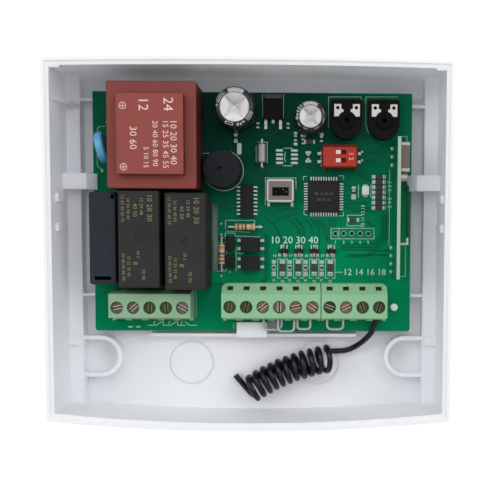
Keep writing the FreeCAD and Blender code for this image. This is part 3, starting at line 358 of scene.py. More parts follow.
print("materials for the tray, board and parts")
whiteTray = whitePlastic()
greenBoard = boardMask("boardMask", 2, (0.16, 0.24, 0.12))
uprightBoard = boardMask("uprightMask", 0, (0.36, 0.47, 0.40))
tinned = tinPlate("tinnedMetal")
legTin = tinPlate("legTin")
solder = makeMaterial("solder", (0.36, 0.42, 0.40), roughness=0.4, metallic=0.5, shadeShift=0.6, patch=1500,
                      grain=5000, bump=0.3, specular=0.3)
whiteInk = makeMaterial("whiteInk", (0.40, 0.54, 0.47), roughness=0.6, shadeShift=0.5, patch=900,
                        grain=7000, specular=0.2)
paleInk = makeMaterial("paleInk", (0.21, 0.20, 0.10), roughness=0.6, shadeShift=0.8, patch=1500, grain=7000,
                       specular=0.2)
numberInk = makeMaterial("numberInk", (0.56, 0.68, 0.62), roughness=0.6, shadeShift=0.3, patch=900,
                         grain=7000, specular=0.2)
pinkInk = makeMaterial("pinkInk", (0.76, 0.55, 0.52), roughness=0.6, shadeShift=0.6, patch=1500, grain=7000,
                       specular=0.2)
gapMask = makeMaterial("gapMask", (0.001, 0.060, 0.038), roughness=0.4, shadeShift=0.3, patch=200,
                       grain=2500, specular=0.06)
redBrown = makeMaterial("transformerResin", (0.265, 0.062, 0.050), roughness=0.52, shadeShift=0.22,
                        patch=60, grain=1800, bump=0.35, bumpDepth=0.00005, specular=0.2)
relayBlack = makeMaterial("relayPlastic", (0.031, 0.031, 0.032), roughness=0.5, shadeShift=0.6, patch=90,
                          grain=2600, bump=0.3, bumpDepth=0.00004, specular=0.08)
fuseBlack = makeMaterial("fusePlastic", (0.023, 0.029, 0.037), roughness=0.46, shadeShift=0.4, patch=150,
                         grain=2600, bump=0.25, bumpDepth=0.00004, specular=0.1)
terminalGreen = makeMaterial("terminalPlastic", (0.25, 0.48, 0.275), roughness=0.5, shadeShift=0.16,
                             patch=150, grain=3000, bump=0.15, bumpDepth=0.00004, specular=0.2)
mainsGreen = makeMaterial("mainsPlastic", (0.25, 0.42, 0.26), roughness=0.5, shadeShift=0.25, patch=120,
                          grain=3000, bump=0.15, bumpDepth=0.00004, specular=0.15)
epoxy = makeMaterial("epoxy", (0.018, 0.018, 0.021), roughness=0.55, shadeShift=0.5, patch=400, grain=5000,
                     bump=0.3, specular=0.07)
blackPlastic = makeMaterial("blackPlastic", (0.005, 0.005, 0.006), roughness=0.36, shadeShift=0.4,
                            patch=300, grain=4000, bump=0.2, specular=0.05)
buzzerPlastic = makeMaterial("buzzerPlastic", (0.013, 0.014, 0.017), roughness=0.4, shadeShift=0.5,
                             patch=200, grain=4000, bump=0.2, specular=0.08)
rotorPlastic = makeMaterial("rotorPlastic", (0.0015, 0.0015, 0.002), roughness=0.3, shadeShift=0.3,
                            patch=500, grain=5000, specular=0.06)
# the switch body's dark red is painted shade on its edges and sides; its face gets its own red further down
switchRed = makeMaterial("switchPlastic", (0.10, 0.011, 0.007), roughness=0.4, shadeShift=0.6, patch=140,
                         grain=3000, specular=0.1)
leverWhite = makeMaterial("leverPlastic", (0.72, 0.55, 0.50), roughness=0.5, specular=0.3)
plateTin = makeMaterial("plateTin", (0.62, 0.60, 0.52), roughness=0.45, metallic=0.2, shadeShift=0.3,
                        patch=900, grain=6000)
brass = makeMaterial("platedBrass", (0.40, 0.29, 0.12), roughness=0.4, metallic=0.8)
copperWire = makeMaterial("enamelWire", (0.50, 0.19, 0.07), roughness=0.35, metallic=0.8, patch=900)
coreSteel = makeMaterial("coreSteel", (0.16, 0.16, 0.17), roughness=0.5, metallic=0.8)
diaphragmSteel = makeMaterial("diaphragmSteel", (0.05, 0.05, 0.05), roughness=0.5, metallic=0.6)
varistorBlue = makeMaterial("varistorLacquer", (0.10, 0.40, 0.63), roughness=0.22, shadeShift=0.3,
                            patch=250, grain=2500, coat=0.3)
ceramic = makeMaterial("chipCeramic", (0.035, 0.034, 0.034), roughness=0.5, shadeShift=0.8, patch=900,
                       specular=0.3)
ledLens = makeMaterial("ledLens", (0.62, 0.66, 0.55), roughness=0.25, coat=0.3)
sleeving = makeMaterial("wireSleeve", (0.0045, 0.005, 0.008), roughness=0.20, shadeShift=0.4, patch=500,
                        grain=3000, bump=0.1, bumpDepth=0.00003, specular=0.33)
fuseGlass = clearGlass("fuseGlass")
diodeCan = makeMaterial("diodeCan", (0.27, 0.265, 0.255), roughness=0.36, metallic=0.3, shadeShift=0.3,
                        patch=500, grain=6000)


def darkSides(material, colour, below=0.45):
    # painted shade: the upright faces of a moulding in a darker colour
    maskedColour(material, lessThan(material, facing(material)[2], below), colour)


def lowerShade(material, level, colour):
    # painted shade: a darker colour below a height above the tray's back
    maskedColour(material, lessThan(material, axesOf(material)[2], level * mm), colour)


def spotColour(material, centre, halfX, halfY, colour):
    # another colour inside a board rectangle
    x, y = axesOf(material, onBoard(*centre))[:2]
    inside = both(material, within(material, x, halfX * mm), within(material, y, halfY * mm))
    maskedColour(material, inside, colour)


def crystalLid():
    # grey-brown face inside a bright rolled rim, with a dark inked patch
    settings = {"rim": (0.50, 0.49, 0.45), "face": (0.15, 0.135, 0.125), "ink": (0.004, 0.004, 0.003),
                "centre": (8.65, 6.9), "half": (3.65, 2.95), "cover": 0.95,
                "inkShift": (0.1, -0.3), "inkHalf": (2.6, 1.35), "blotScale": 900.0, "blotLevel": 0.33}
    material = makeMaterial("crystalLid", settings["rim"], roughness=0.34, metallic=0.3, shadeShift=0.2,
                            patch=500, grain=6000, specular=0.05)
    x, y = axesOf(material, onBoard(*settings["centre"]))[:2]
    halfX, halfY = settings["half"]
    face = both(material, within(material, x, halfX * mm), within(material, y, halfY * mm))
    maskedColour(material, both(material, face, settings["cover"]), settings["face"])
    made, link = material.node_tree.nodes, material.node_tree.links
    where = made.new("ShaderNodeTexCoord")
    blots = made.new("ShaderNodeTexNoise")
    blots.inputs["Scale"].default_value = settings["blotScale"]
    link.new(where.outputs["Object"], blots.inputs["Vector"])
    patch = moreThan(material, blots.outputs["Fac"], settings["blotLevel"])
    for axis, shift, half in zip((x, y), settings["inkShift"], settings["inkHalf"]):
        away = mathNode(material, "SUBTRACT", axis, shift * mm)
        patch = both(material, patch, within(material, away, half * mm))
    maskedColour(material, patch, settings["ink"])
    return material


def receiverCan():
    # grey-brown shield with bright folded ends, and a dark green wire with a bright foot below it
    settings = {"ends": (0.42, 0.40, 0.36), "face": (0.13, 0.108, 0.103), "low": 13.4, "high": 20.3,
                "cover": 0.95, "wire": (0.012, 0.045, 0.028), "foot": -7.6, "head": 8.4}
    material = makeMaterial("receiverCan", settings["ends"], roughness=0.36, metallic=0.4, shadeShift=0.25,
                            patch=500, grain=6000, specular=0.1)
    y = axesOf(material, onBoard(0, 0))[1]
    face = between(material, y, settings["low"] * mm, settings["high"] * mm)
    maskedColour(material, both(material, face, settings["cover"]), settings["face"])
    wire = between(material, y, settings["foot"] * mm, settings["head"] * mm)
    maskedColour(material, wire, settings["wire"])
    return material


# painted shade on the case's border below its raised top
lowerShade(redBrown, 27.3, (0.21, 0.048, 0.039))    # the case below its raised top
# painted shade on the case's upright sides
darkSides(redBrown, (0.075, 0.015, 0.011))
spotColour(legTin, (6.35, 36.2), 3.2, 1.2, (0.055, 0.052, 0.048))    # the regulator's tab
spotColour(epoxy, (6.35, 32.2), 3.3, 3.4, (0.005, 0.005, 0.0055))    # and its body
# the switch's face in its own red, the body round it left in painted shade
spotColour(switchRed, (27.15, 17.25), 5.1, 2.9, (0.38, 0.036, 0.026))    # the switch's face
dress(whiteTray, "enclosure_base")
dress(greenBoard, "circuit_board")
dress(uprightBoard, "receiver_board")
dress(tinned, "component_pins", "wire_leads", "link_wires")
dress(legTin, "chip_legs")
dress(plateTin, "trimmer_terminals")
dress(redBrown, "transformer_case")
dress(coreSteel, "transformer_core", "relay_1_armature", "relay_2_armature", "terminal_cages")
dress(copperWire, "transformer_windings", "relay_coils")
dress(relayBlack, "relay_housings")
dress(fuseBlack, "fuse_cover", "fuse_holder")
dress(brass, "relay_contacts", "fuse_clips")
dress(diaphragmSteel, "buzzer_diaphragm")
dress(fuseGlass, "glass_fuse")
dress(mainsGreen, "mains_terminal_body")
dress(terminalGreen, "signal_terminal_body_left", "signal_terminal_body_right")
dress(epoxy, "microcontroller", "chip_packages")
dress(blackPlastic, "trimmer_bodies")
dress(buzzerPlastic, "buzzer_case")
dress(rotorPlastic, "trimmer_rotor_left", "trimmer_rotor_right")
dress(switchRed, "dip_switch_body")
dress(leverWhite, "dip_lever_1", "dip_lever_2")
dress(diodeCan, "can_diode")
dress(crystalLid(), "crystal_can")
dress(receiverCan(), "receiver_parts")
dress(bandedBody("resistorLacquer"), "axial_resistors")
dress(varistorBlue, "varistor")
dress(ceramic, "chip_parts")
dress(ledLens, "status_led")

# each screw has its own colour, plating with a painted green reflection of the terminal well in the olive
# and green ones, and its slot's direction in degrees with a painted highlight along the slot's edges
screwColours = {"brown": (0.13, 0.105, 0.09), "olive": (0.055, 0.068, 0.028),
                "darkOlive": (0.045, 0.06, 0.025), "copperTone": (0.20, 0.125, 0.085),
                "grey": (0.15, 0.13, 0.115), "darkGreen": (0.028, 0.05, 0.022)}
screwLooks = (("brown", 12), ("brown", 40), ("olive", 85), ("olive", 95), ("grey", -30), ("olive", 80),
              ("darkOlive", 78), ("copperTone", 38), ("grey", 88), ("copperTone", 12), ("copperTone", -35),
              ("darkGreen", -22), ("copperTone", 25), ("olive", -70), ("darkOlive", 72))
# the painted highlight along each slot's edges, and the painted shade inside the slot
slotHighlight = {"inner": 0.3, "outer": 0.52, "reach": 1.5, "colour": (0.62, 0.56, 0.47), "strength": 0.95,
           "dull": {"olive": 0.3, "darkOlive": 0.22, "darkGreen": 0.8}, "slot": (0.01, 0.01, 0.008),
           "slotShadeStrength": 0.35}


def screwMaterial(number, look):
    colourName, turn = look
    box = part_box("terminal_screw_%02d" % number)
    centre = [(low + high) / 2 for low, high in zip(*box)]
    material = makeMaterial("screw_%02d" % number, screwColours[colourName], roughness=0.42, metallic=0.45,
                            shadeShift=0.8, roughShift=0.3, patch=1400, grain=9000, bump=0.3,
                            bumpDepth=0.00002, specular=0.3)
    x, y = axesOf(material, centre)[:2]
    side, along = math.sin(math.radians(turn)), math.cos(math.radians(turn))
    off = mathNode(material, "SUBTRACT", both(material, y, along), both(material, x, side))
    off = mathNode(material, "ABSOLUTE", off)
    run = mathNode(material, "ADD", both(material, x, along), both(material, y, side))
    # painted highlight along the slot's edges, weaker on the dull screws
    highlightBand = between(material, off, slotHighlight["inner"] * mm, slotHighlight["outer"] * mm)
    highlightBand = both(material, highlightBand, within(material, run, slotHighlight["reach"] * mm))
    strength = slotHighlight["dull"].get(colourName, slotHighlight["strength"])
    maskedColour(material, both(material, highlightBand, strength), slotHighlight["colour"])
    # painted shade inside the slot
    slot = lessThan(material, off, slotHighlight["inner"] * mm)
    maskedColour(material, both(material, slot, slotHighlight["slotShadeStrength"]), slotHighlight["slot"])
    return material


for number, look in enumerate(screwLooks, 1):
    dress(screwMaterial(number, look), "terminal_screw_%02d" % number)

# capacitors: board place and height; painted wedge shades by angle and shade; sleeve marks by angle, radius
# and shade
capacitorGap = 8.5    # a line between the two, across the tray
capacitorLooks = (
    {"number": 0, "centre": (-4.7, 31.1), "height": 13.5,
     "paintedWedgeShades": ((-40, 50, 0.58), (50, 140, 0.47), (-130, -40, 0.70)),
     "marks": ((58, 112, 4.45, 5.75, 0.40), (126, 166, 4.75, 4.93, 0.5), (126, 166, 5.25, 5.42, 0.45),
               (130, 160, 5.72, 5.88, 0.4), (-46, -14, 4.75, 4.93, 0.5), (-46, -14, 5.2, 5.38, 0.5),
               (-44, -16, 5.62, 5.8, 0.45), (-120, -96, 4.75, 4.9, 0.5), (-120, -96, 5.4, 5.55, 0.5),
               (-122, -118, 4.75, 5.55, 0.5), (-98, -95, 4.75, 5.55, 0.45), (-82, -76, 4.9, 5.7, 0.45),
               (-72, -67, 5.0, 5.7, 0.5), (-63, -55, 4.9, 5.4, 0.4), (172, 178, 5.0, 5.6, 0.35))},
    {"number": 1, "centre": (18.0, 28.8), "height": 11.0,
     "paintedWedgeShades": ((-40, 50, 0.56), (50, 140, 0.43), (-130, -40, 0.48)),
     "marks": ((58, 122, 3.5, 4.5, 0.40), (130, 136, 3.7, 4.7, 0.3), (142, 148, 3.6, 4.7, 0.36),
               (155, 162, 3.6, 4.5, 0.3), (168, 178, 3.7, 4.2, 0.34), (-178, -166, 3.7, 4.5, 0.3),
               (-152, -136, 4.2, 4.4, 0.35), (-122, -104, 3.9, 4.1, 0.34), (-72, -50, 3.9, 4.1, 0.35),
               (-30, -6, 4.1, 4.25, 0.3), (10, 34, 4.1, 4.25, 0.3))},
)


def splitByX(name, limit):
    # loose parts of a copy of a CAD node, left and right of a line
    source = nodes[name]
    halves = []
    for side in (0, 1):
        half = copyOf(source, "%s_%d" % (name, side), Matrix.Identity(4))
        half.parent = None
        activate(half)
        bpy.ops.object.mode_set(mode="EDIT")
        bpy.ops.mesh.select_all(action="SELECT")
        bpy.ops.mesh.remove_doubles(threshold=0.000002)
        bpy.ops.mesh.select_all(action="DESELECT")
        bpy.ops.object.mode_set(mode="OBJECT")
        for vertex in half.data.vertices:
            vertex.select = (vertex.co.x > limit) == (side == 0)
        bpy.ops.object.mode_set(mode="EDIT")
        bpy.ops.mesh.delete(type="VERT")
        bpy.ops.object.mode_set(mode="OBJECT")
        halves.append(half)
    return halves


def setMaterial(obj, material):
    obj.data.materials.clear()
    obj.data.materials.append(material)


def dressCapacitors():
    for node, slot, word in (("capacitor_cans", "can_aluminium", "can"),
                             ("capacitor_sleeves", "sleeve_black", "sleeve")):
        halves = splitByX(node, capacitorGap * mm)
        for half, look in zip(halves, capacitorLooks):
            centre, number = onBoard(*look["centre"]), look["number"]
            if word == "can":
                setMaterial(half, canTop("canTop%d" % number, centre, look["paintedWedgeShades"]))
            else:
                setMaterial(half, stripedSleeve("sleeve%d" % number, centre, look["height"], look["marks"]))
            smooth(half, 35)
            half.name = "capacitor_%d_%s" % (number + 1, word)
            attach(half, "controller")
            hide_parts(node)


dressCapacitors()
print("capacitors dressed")

# antenna

antenna = {
    "radius": 0.9, "length": 0.289,
    "lead": ((38.95, -33.3, 2.9), (38.55, -35.6, 2.5), (37.6, -38.11, 1.4), (35.6, -40.6, -1.0),
             (33.2, -42.8, -3.6), (30.3, -44.39, -4.73), (27.2, -44.56, -4.75)),
    "entry": ((25.1, -44.6, -4.75), (23.63, -44.63, -4.75), (23.1, -42.89, -2.44)),
    "middle": ((24.7, -46.45), (10.2, -48.85), (-1.15, -56.85)), "height": -1.0, "coilRadius": 3.75,
    "wobble": 0.06, "wobbleRate": 2.3, "lean": 1.3, "leanTurns": 5, "turns": 11, "perTurn": 16,
    "tail": ((1.35, -59.66, -2.66), (-1.03, -58.58, -4.75), (-2.1, -57.3, -4.75), (-4.1, -54.92, -4.75),
             (-6.09, -52.55, -4.75)),
}


def coilPoint(look, turns, stretch):
    # a point of the winding round its bowed middle line, the first turns leaning
    start, pull, end = (Vector((*place, look["height"])) for place in look["middle"])
    share = turns / look["turns"]
    middle = start * (1 - share) ** 2 + pull * (2 * share * (1 - share)) + end * share ** 2
    axis = ((pull - start) * (1 - share) + (end - pull) * share).normalized()
    upright = Vector((0, 0, 1))
    angle = math.pi + 2 * math.pi * turns
    radius = (look["coilRadius"] + look["wobble"] * math.sin(look["wobbleRate"] * turns)) * stretch
    lean = look["lean"] * max(0.0, 1 - turns / look["leanTurns"])
    rise, swing = radius * math.cos(angle), radius * math.sin(angle)
    return middle + upright * rise + upright.cross(axis) * swing - axis * (lean * math.cos(angle))


def antennaPoints(look):
    points = list(look["lead"]) + list(look["entry"])
    steps, quarter = look["turns"] * look["perTurn"], look["perTurn"] // 4
    stretch = 1.0 / math.cos(math.pi / look["perTurn"])
    for step in range(quarter, steps - quarter):
        points.append(tuple(coilPoint(look, (step + 0.5) / look["perTurn"], stretch)))
    return points + list(look["tail"])


def makeAntenna(look):
    curve = bpy.data.curves.new("antenna_wire", "CURVE")
    curve.dimensions = "3D"
    curve.resolution_u = 4
    curve.bevel_depth = look["radius"] * mm
    curve.bevel_resolution = 5
    curve.use_fill_caps = True
    spline = curve.splines.new("NURBS")
    points = antennaPoints(look)
    spline.points.add(len(points) - 1)
    for point, place in zip(spline.points, points):
        point.co = (*onBoard(*place), 1.0)
    spline.order_u = 3
    spline.use_endpoint_u = True
    wire = bpy.data.objects.new("antenna_wire", curve)
    bpy.context.scene.collection.objects.link(wire)
    curve.materials.append(sleeving)
    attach(wire, "controller")
    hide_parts("antenna_lead", "antenna_coil")


makeAntenna(antenna)
print("antenna wire with", len(antennaPoints(antenna)), "points")

# printed lines, traces and pads on the board

chipColumns = (9.3, 14.35, 19.4, 24.5)
sideChips = [6.6 + 1.62 * step for step in (3, 2, 1, 0, -1, -2, -3)]
headerHoles = [26.1 + 2.6 * step for step in range(5)]
printLook = {"width": 0.18, "height": 0.05, "sink": 0.01, "mainsWidth": 0.22, "dashWidth": 0.42,
             "crossWidth": 0.2}
traceLook = {"width": 0.2, "height": 0.03, "shift": (0.62, -0.38)}
printedLines = {
    "varistor": ((-46.2, 26.7), (-48.1, 26.6), (-48.6, 25.9), (-48.8, 14.7), (-48.2, 13.8), (-47.6, 13.5)),
    "buzzerTick": ((-15.9, 18.5), (-13.2, 18.5)),
    "canRight": ((1.6, 22.2), (4.5, 22.1), (4.5, 15.7)),
    "canLeft": ((1.0, 20.9), (1.0, 16.0)),
    "regulatorLeft": ((3.0, 36.8), (3.0, 29.7)),
    "regulatorRight": ((9.6, 36.8), (9.6, 29.7)),
    "spareTop": ((9.8, 20.3), (12.3, 20.3)),
    "spareLow": ((9.4, 14.8), (12.3, 14.8)),
    "spareIn": ((10.2, 19.1), (9.9, 17.2), (10.2, 16.0)),
    "crystal": ((3.9, 2.5), (3.9, 11.0), (13.5, 11.0), (13.6, 7.6)),
    "cornerA": ((15.9, 10.4), (15.9, 11.5), (16.9, 11.5)),
    "cornerB": ((27.1, 11.8), (28.6, 11.8), (28.6, 10.8)),
    "cornerC": ((28.6, 0.4), (28.6, -0.8), (27.2, -0.8)),
    "cornerD": ((16.1, 1.0), (16.1, -0.3), (17.1, -0.7)),
    "resistorLevel": ((-8.7, -5.1), (-8.7, -2.4), (0.5, -2.4), (0.5, -3.5)),
    "resistorLow": ((-8.6, -5.8), (-1.0, -6.1)),
    "resistorUpright": ((-11.7, -9.5), (-8.4, -9.4), (-8.4, -18.4), (-11.1, -18.6)),
    "diodeTop": ((-8.8, -8.3), (-8.8, -6.4), (-5.7, -6.4), (-5.7, -7.2)),
    "couplerTop": ((-5.7, -7.3), (2.2, -7.6)),
    "couplerLeft": ((-5.4, -10.9), (-5.4, -18.4)),
    "couplerMid": ((-5.4, -12.8), (-2.9, -12.8)),
    "header": ((24.7, -4.8), (38.3, -4.7), (38.4, -8.0), (24.7, -8.1), (24.7, -4.8)),
    "headerPin": ((27.2, -4.8), (27.2, -8.1)),
    "rightEdge": ((43.1, 13.7), (43.2, -10.2)),
    "receiverTop": ((45.6, 24.2), (48.5, 24.2), (48.5, 22.5)),
    "receiverLow": ((48.4, -10.2), (48.5, -19.9), (45.6, -19.9)),
    "trimmerLeft": ((23.7, 26.7), (23.7, 36.3), (33.9, 36.4), (33.9, 28.0)),
    "trimmerRight": ((36.4, 25.0), (35.4, 27.7), (35.4, 36.4), (45.4, 36.5)),
    "switchEdge": ((21.4, 19.8), (21.4, 14.8), (22.4, 13.5)),
    "mainsEnd": ((-18.1, -24.0), (-18.1, -33.0)),
    "numberLead": ((26.0, -18.7), (28.4, -18.7)),
    "signalTick": ((-6.2, -35.2), (-6.2, -36.8)),
    "capBox": ((34.5, -0.6), (29.9, -0.6), (29.8, -4.0), (34.5, -3.9)),
    "ledLeft": ((33.3, 8.9), (33.3, 5.2)),
    "ledRight": ((37.9, 8.9), (37.2, 8.9), (37.2, 5.3), (37.9, 5.3)),
}
mainsLines = (((-33.4, -35.8), (-30.8, -35.8), (-29.0, -34.6)),
              ((-28.6, -34.6), (-28.6, -35.8), (-26.2, -35.8), (-24.4, -34.6)),
              ((-24.0, -34.6), (-24.0, -35.8), (-21.6, -35.8)),
              ((-21.6, -34.6), (-20.2, -35.8), (-18.0, -35.8)), ((-31.6, -35.4), (-31.2, -34.5)),
              ((-26.9, -35.4), (-26.5, -34.5)), ((-22.9, -35.4), (-22.5, -34.5)))
mainsDashes = (((-39.5, -36.3), (-38.5, -36.3)), ((-37.0, -36.3), (-36.0, -36.3)))
top, low = -14.5, -20.6
for index, x in enumerate(chipColumns):
    for word, side in (("Left", -1), ("Right", 1)):
        near, far = x + side * 0.6, x + side * 1.5
        printedLines["column%d%s" % (index, word)] = ((near, top), (far, top), (far, low), (near, low))

traceLines = (
    ((3.5, 13.5), (-2.5, 8.0)), ((5.0, 13.8), (0.5, 10.2)), ((6.5, 14.0), (2.4, 10.8)),
    ((-4.6, 10.5), (-8.5, 5.5), (-8.5, 0.5)), ((5.5, -0.5), (9.0, 1.2), (14.2, 1.6)),
    ((6.0, -3.0), (9.5, -1.0), (14.0, 0.2)), ((13.0, -1.5), (15.6, -4.2), (15.6, -9.0)),
    ((18.0, -1.8), (20.5, -4.3), (20.5, -9.5)), ((19.2, -1.8), (21.7, -4.3), (23.3, -9.0)),
    ((20.4, -1.8), (23.2, -4.6), (23.8, -9.0)), ((28.8, 3.0), (31.0, 3.0), (32.2, 1.8), (37.0, 1.8)),
    ((28.8, 2.0), (30.4, 2.0), (31.6, 0.8), (37.6, 0.8)),
    ((27.5, -9.5), (37.5, -9.5), (40.6, -6.4), (40.6, -0.5)),
    ((27.5, -10.4), (38.0, -10.4), (41.5, -6.9), (41.5, 0.2)),
    ((27.5, -11.3), (38.4, -11.3), (42.3, -7.4), (42.3, 0.8)), ((35.5, 19.2), (38.4, 19.2), (41.6, 22.2)),
    ((35.5, 16.6), (37.6, 16.6), (43.4, 21.9)), ((32.5, 13.0), (35.0, 10.6), (38.0, 10.4)),
    ((33.5, 13.8), (36.0, 11.6)), ((-4.8, -22.0), (2.2, -22.0), (3.6, -20.6), (3.6, -6.5)),
    ((2.6, -22.0), (4.4, -20.2), (4.4, -6.5)), ((-47.8, 6.0), (-46.0, 2.5)),
    ((1.0, 24.5), (5.2, 24.5), (7.5, 26.0)), ((8.0, 14.0), (13.0, 14.0), (14.6, 12.6)),
    ((10.0, 24.8), (13.0, 24.8)), ((-12.0, 9.0), (-15.0, 6.0), (-15.0, 1.0)), ((-11.0, 3.0), (-4.5, 3.0)),
    ((-11.0, 1.5), (-4.5, 1.5)), ((-11.0, 6.0), (-6.6, 6.0)), ((30.0, -13.0), (43.0, -13.0)),
    ((3.8, -1.2), (6.9, -4.3), (8.5, -8.0), (8.5, -11.0)), ((11.2, -1.8), (14.3, -4.8), (14.3, -6.6)),
    ((16.4, -2.0), (18.6, -4.2), (18.6, -6.4)), ((24.0, -1.6), (24.0, -3.8)),
    ((25.5, -1.6), (25.5, -3.4), (24.6, -4.3)), ((35.5, -2.0), (37.4, -3.9), (37.4, -4.6)),
    ((28.8, -13.5), (36.0, -13.5), (38.0, -11.6), (43.2, -11.6)), ((-2.0, 13.0), (2.0, 9.2), (2.0, 4.0)),
    ((-7.4, 26.0), (-9.6, 22.2)), ((10.5, 28.5), (12.5, 26.5)), ((19.6, 12.6), (17.6, 14.4), (15.2, 14.4)),
    ((21.2, 12.8), (19.4, 14.9)), ((24.6, 12.6), (26.4, 13.4)), ((28.8, 5.6), (30.8, 5.6)),
    ((28.8, 4.4), (30.2, 4.4), (31.4, 3.4), (35.6, 3.4)), ((13.8, 10.2), (15.4, 10.2)),
    ((13.8, 8.6), (15.4, 8.6)), ((13.8, 4.4), (15.4, 4.4)), ((33.8, 24.4), (37.0, 24.4), (40.6, 21.0)),
    ((-15.6, -24.6), (-12.2, -22.4), (-6.4, -22.4)), ((15.0, 15.0), (20.5, 15.0)),
    ((14.8, 16.2), (19.0, 16.2)), ((29.0, 8.8), (31.0, 8.8)), ((29.0, 7.6), (31.0, 7.6)),
)


def strokeTemplate():
    # one soft-edged bar, a metre long, that all printed lines are copies of
    deselectAll()
    bpy.ops.mesh.primitive_cube_add(size=1.0)
    bar = bpy.context.object
    bpy.ops.object.mode_set(mode="EDIT")
    bpy.ops.mesh.select_all(action="SELECT")
    bpy.ops.mesh.bevel(offset=0.12, segments=2, affect="EDGES")
    bpy.ops.object.mode_set(mode="OBJECT")
    return bar


def strokes(bar, polylines, width, height=printLook["height"]):
    made = []
    for line in polylines:
        for a, b in zip(line, line[1:]):
            a, b = onBoard(*a), onBoard(*b)
            middle = (a + b) / 2 + Vector((0, 0, height / 2 - printLook["sink"])) * mm
            run = b - a
            turn = Matrix.Rotation(math.atan2(run.y, run.x), 4, "Z")
            size = Matrix.Diagonal((run.length + width * mm, width * mm, height * mm, 1.0))
            made.append(copyOf(bar, "stroke", Matrix.Translation(middle) @ turn @ size))
    return made


def dotTemplate():
    # one low solder dome, a metre across
    deselectAll()
    bpy.ops.mesh.primitive_cylinder_add(vertices=20, radius=0.5, depth=0.4, location=(0, 0, 0.2))
    dome = bpy.context.object
    settle(dome)
    bpy.ops.object.mode_set(mode="EDIT")
    bpy.ops.mesh.select_mode(type="FACE")
    bpy.ops.mesh.select_all(action="DESELECT")
    bpy.ops.object.mode_set(mode="OBJECT")
    for face in dome.data.polygons:
        face.select = face.normal.z > 0.9
    bpy.ops.object.mode_set(mode="EDIT")
    bpy.ops.mesh.inset(thickness=0.12)
    bpy.ops.transform.translate(value=(0, 0, 0.22))
    bpy.ops.mesh.inset(thickness=0.16)
    bpy.ops.transform.translate(value=(0, 0, 0.16))
    bpy.ops.object.mode_set(mode="OBJECT")
    return dome


def padTemplate():
    # one flat soldered pad with a soft rim, a metre square
    deselectAll()
    bpy.ops.mesh.primitive_cube_add(size=1.0, location=(0, 0, 0.5))
    pad = bpy.context.object
    settle(pad)
    bpy.ops.object.mode_set(mode="EDIT")
    bpy.ops.mesh.select_all(action="SELECT")
    bpy.ops.mesh.bevel(offset=0.18, segments=3, affect="EDGES")
    bpy.ops.object.mode_set(mode="OBJECT")
    return pad


def putCopy(template, name, x, y, z, sizeX, sizeY, sizeZ):
    size = Matrix.Diagonal((sizeX * mm, sizeY * mm, sizeZ * mm, 1.0))
    return copyOf(template, name, Matrix.Translation(onBoard(x, y, z)) @ size)


def finishPiece(parts, name, material):
    piece = joinAll(parts, name)
    setMaterial(piece, material)
    smooth(piece)
    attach(piece, "controller")


bar = strokeTemplate()
finishPiece(strokes(bar, printedLines.values(), printLook["width"]), "board_print", whiteInk)
mainsMarks = strokes(bar, mainsLines, printLook["mainsWidth"])
mainsMarks += strokes(bar, mainsDashes, printLook["dashWidth"])
finishPiece(mainsMarks, "mains_print", numberInk)
shiftX, shiftY = traceLook["shift"]
tracePairs = list(traceLines) + [tuple((x + shiftX, y + shiftY) for x, y in line) for line in traceLines]
traceBars = strokes(bar, tracePairs, traceLook["width"], traceLook["height"])
finishPiece(traceBars, "board_traces", gapMask)
print("board print and traces drawn")

# solder dots by place and width; flat pads by place, width and length
padLook = {"sink": 0.01, "dotHeight": 0.5, "height": 0.12}
solderDots = (
    (-14.22, -3.57, 1.0), (-14.24, -7.51, 1.1), (-14.14, -19.7, 0.8), (-10.12, -3.54, 0.8),
    (-10.13, -6.9, 0.9), (-10.18, -20.0, 0.9), (-7.33, -18.72, 0.8), (2.2, -4.5, 1.3), (44.0, 20.4, 1.3),
    (44.0, 17.8, 1.3), (44.0, 15.2, 1.3), (44.0, -10.9, 1.3), (44.0, -13.4, 1.3), (44.0, -16.0, 1.3),
    (44.0, -18.5, 1.3), (34.33, 19.31, 1.0), (34.35, 16.65, 1.0), (-47.16, 12.84, 1.1), (-45.6, 28.0, 0.8),
    (2.85, 14.4, 0.9), (2.85, 22.8, 0.9), (-6.7, -4.5, 1.0), (-9.85, -8.0, 1.0), (-9.85, -18.2, 1.0),
)
flatPads = [(x, y, 2.2, 0.75) for x in (8.34, 13.05) for y in (19.6, 18.3, 17.0, 15.7)]
for x in chipColumns:
    flatPads += [(x, -15.4, 1.7, 1.4), (x, -19.2, 1.7, 1.4), (x - 2.7, -15.5, 1.3, 1.2),
                 (x - 2.7, -19.3, 1.3, 1.5), (x - 2.7, -17.2, 1.3, 1.3)]
    flatPads += [(x + 0.1, -10.5, 0.9, 1.0), (x - 0.9, -13.3, 0.9, 1.0), (x + 1.0, -13.3, 0.9, 1.0)]
flatPads += [(x, y, 1.0, 1.15) for x in (38.0, 41.5) for y in sideChips]
flatPads += [(31.8, 8.0, 1.3, 0.9), (31.8, 5.2, 1.5, 1.6), (35.5, 8.8, 1.4, 0.6), (35.5, 5.5, 1.4, 0.6),
             (30.3, -2.1, 0.9, 1.3), (33.2, -2.1, 0.9, 1.3)]
flatPads += [(15.8, 24.2, 1.6, 0.8), (17.8, 24.6, 2.2, 0.9), (21.6, 24.6, 1.2, 1.1), (13.4, 25.0, 1.2, 0.8),
             (13.4, 21.6, 1.2, 0.9), (17.4, 19.0, 1.8, 0.8), (17.4, 16.3, 1.8, 0.9), (-4.3, 20.0, 1.4, 3.6),
             (-5.4, 24.6, 1.2, 0.6), (-5.4, 22.2, 1.2, 0.6)]

dome = dotTemplate()
pad = padTemplate()
solderParts = []
for x, y, size in solderDots:
    solderParts.append(putCopy(dome, "dot", x, y, -padLook["sink"], size, size, padLook["dotHeight"]))
for x, y, width, length in flatPads:
    solderParts.append(putCopy(pad, "pad", x, y, -padLook["sink"], width, length, padLook["height"]))
finishPiece(solderParts, "solder_pads", solder)
print("solder pads placed:", len(solderParts))


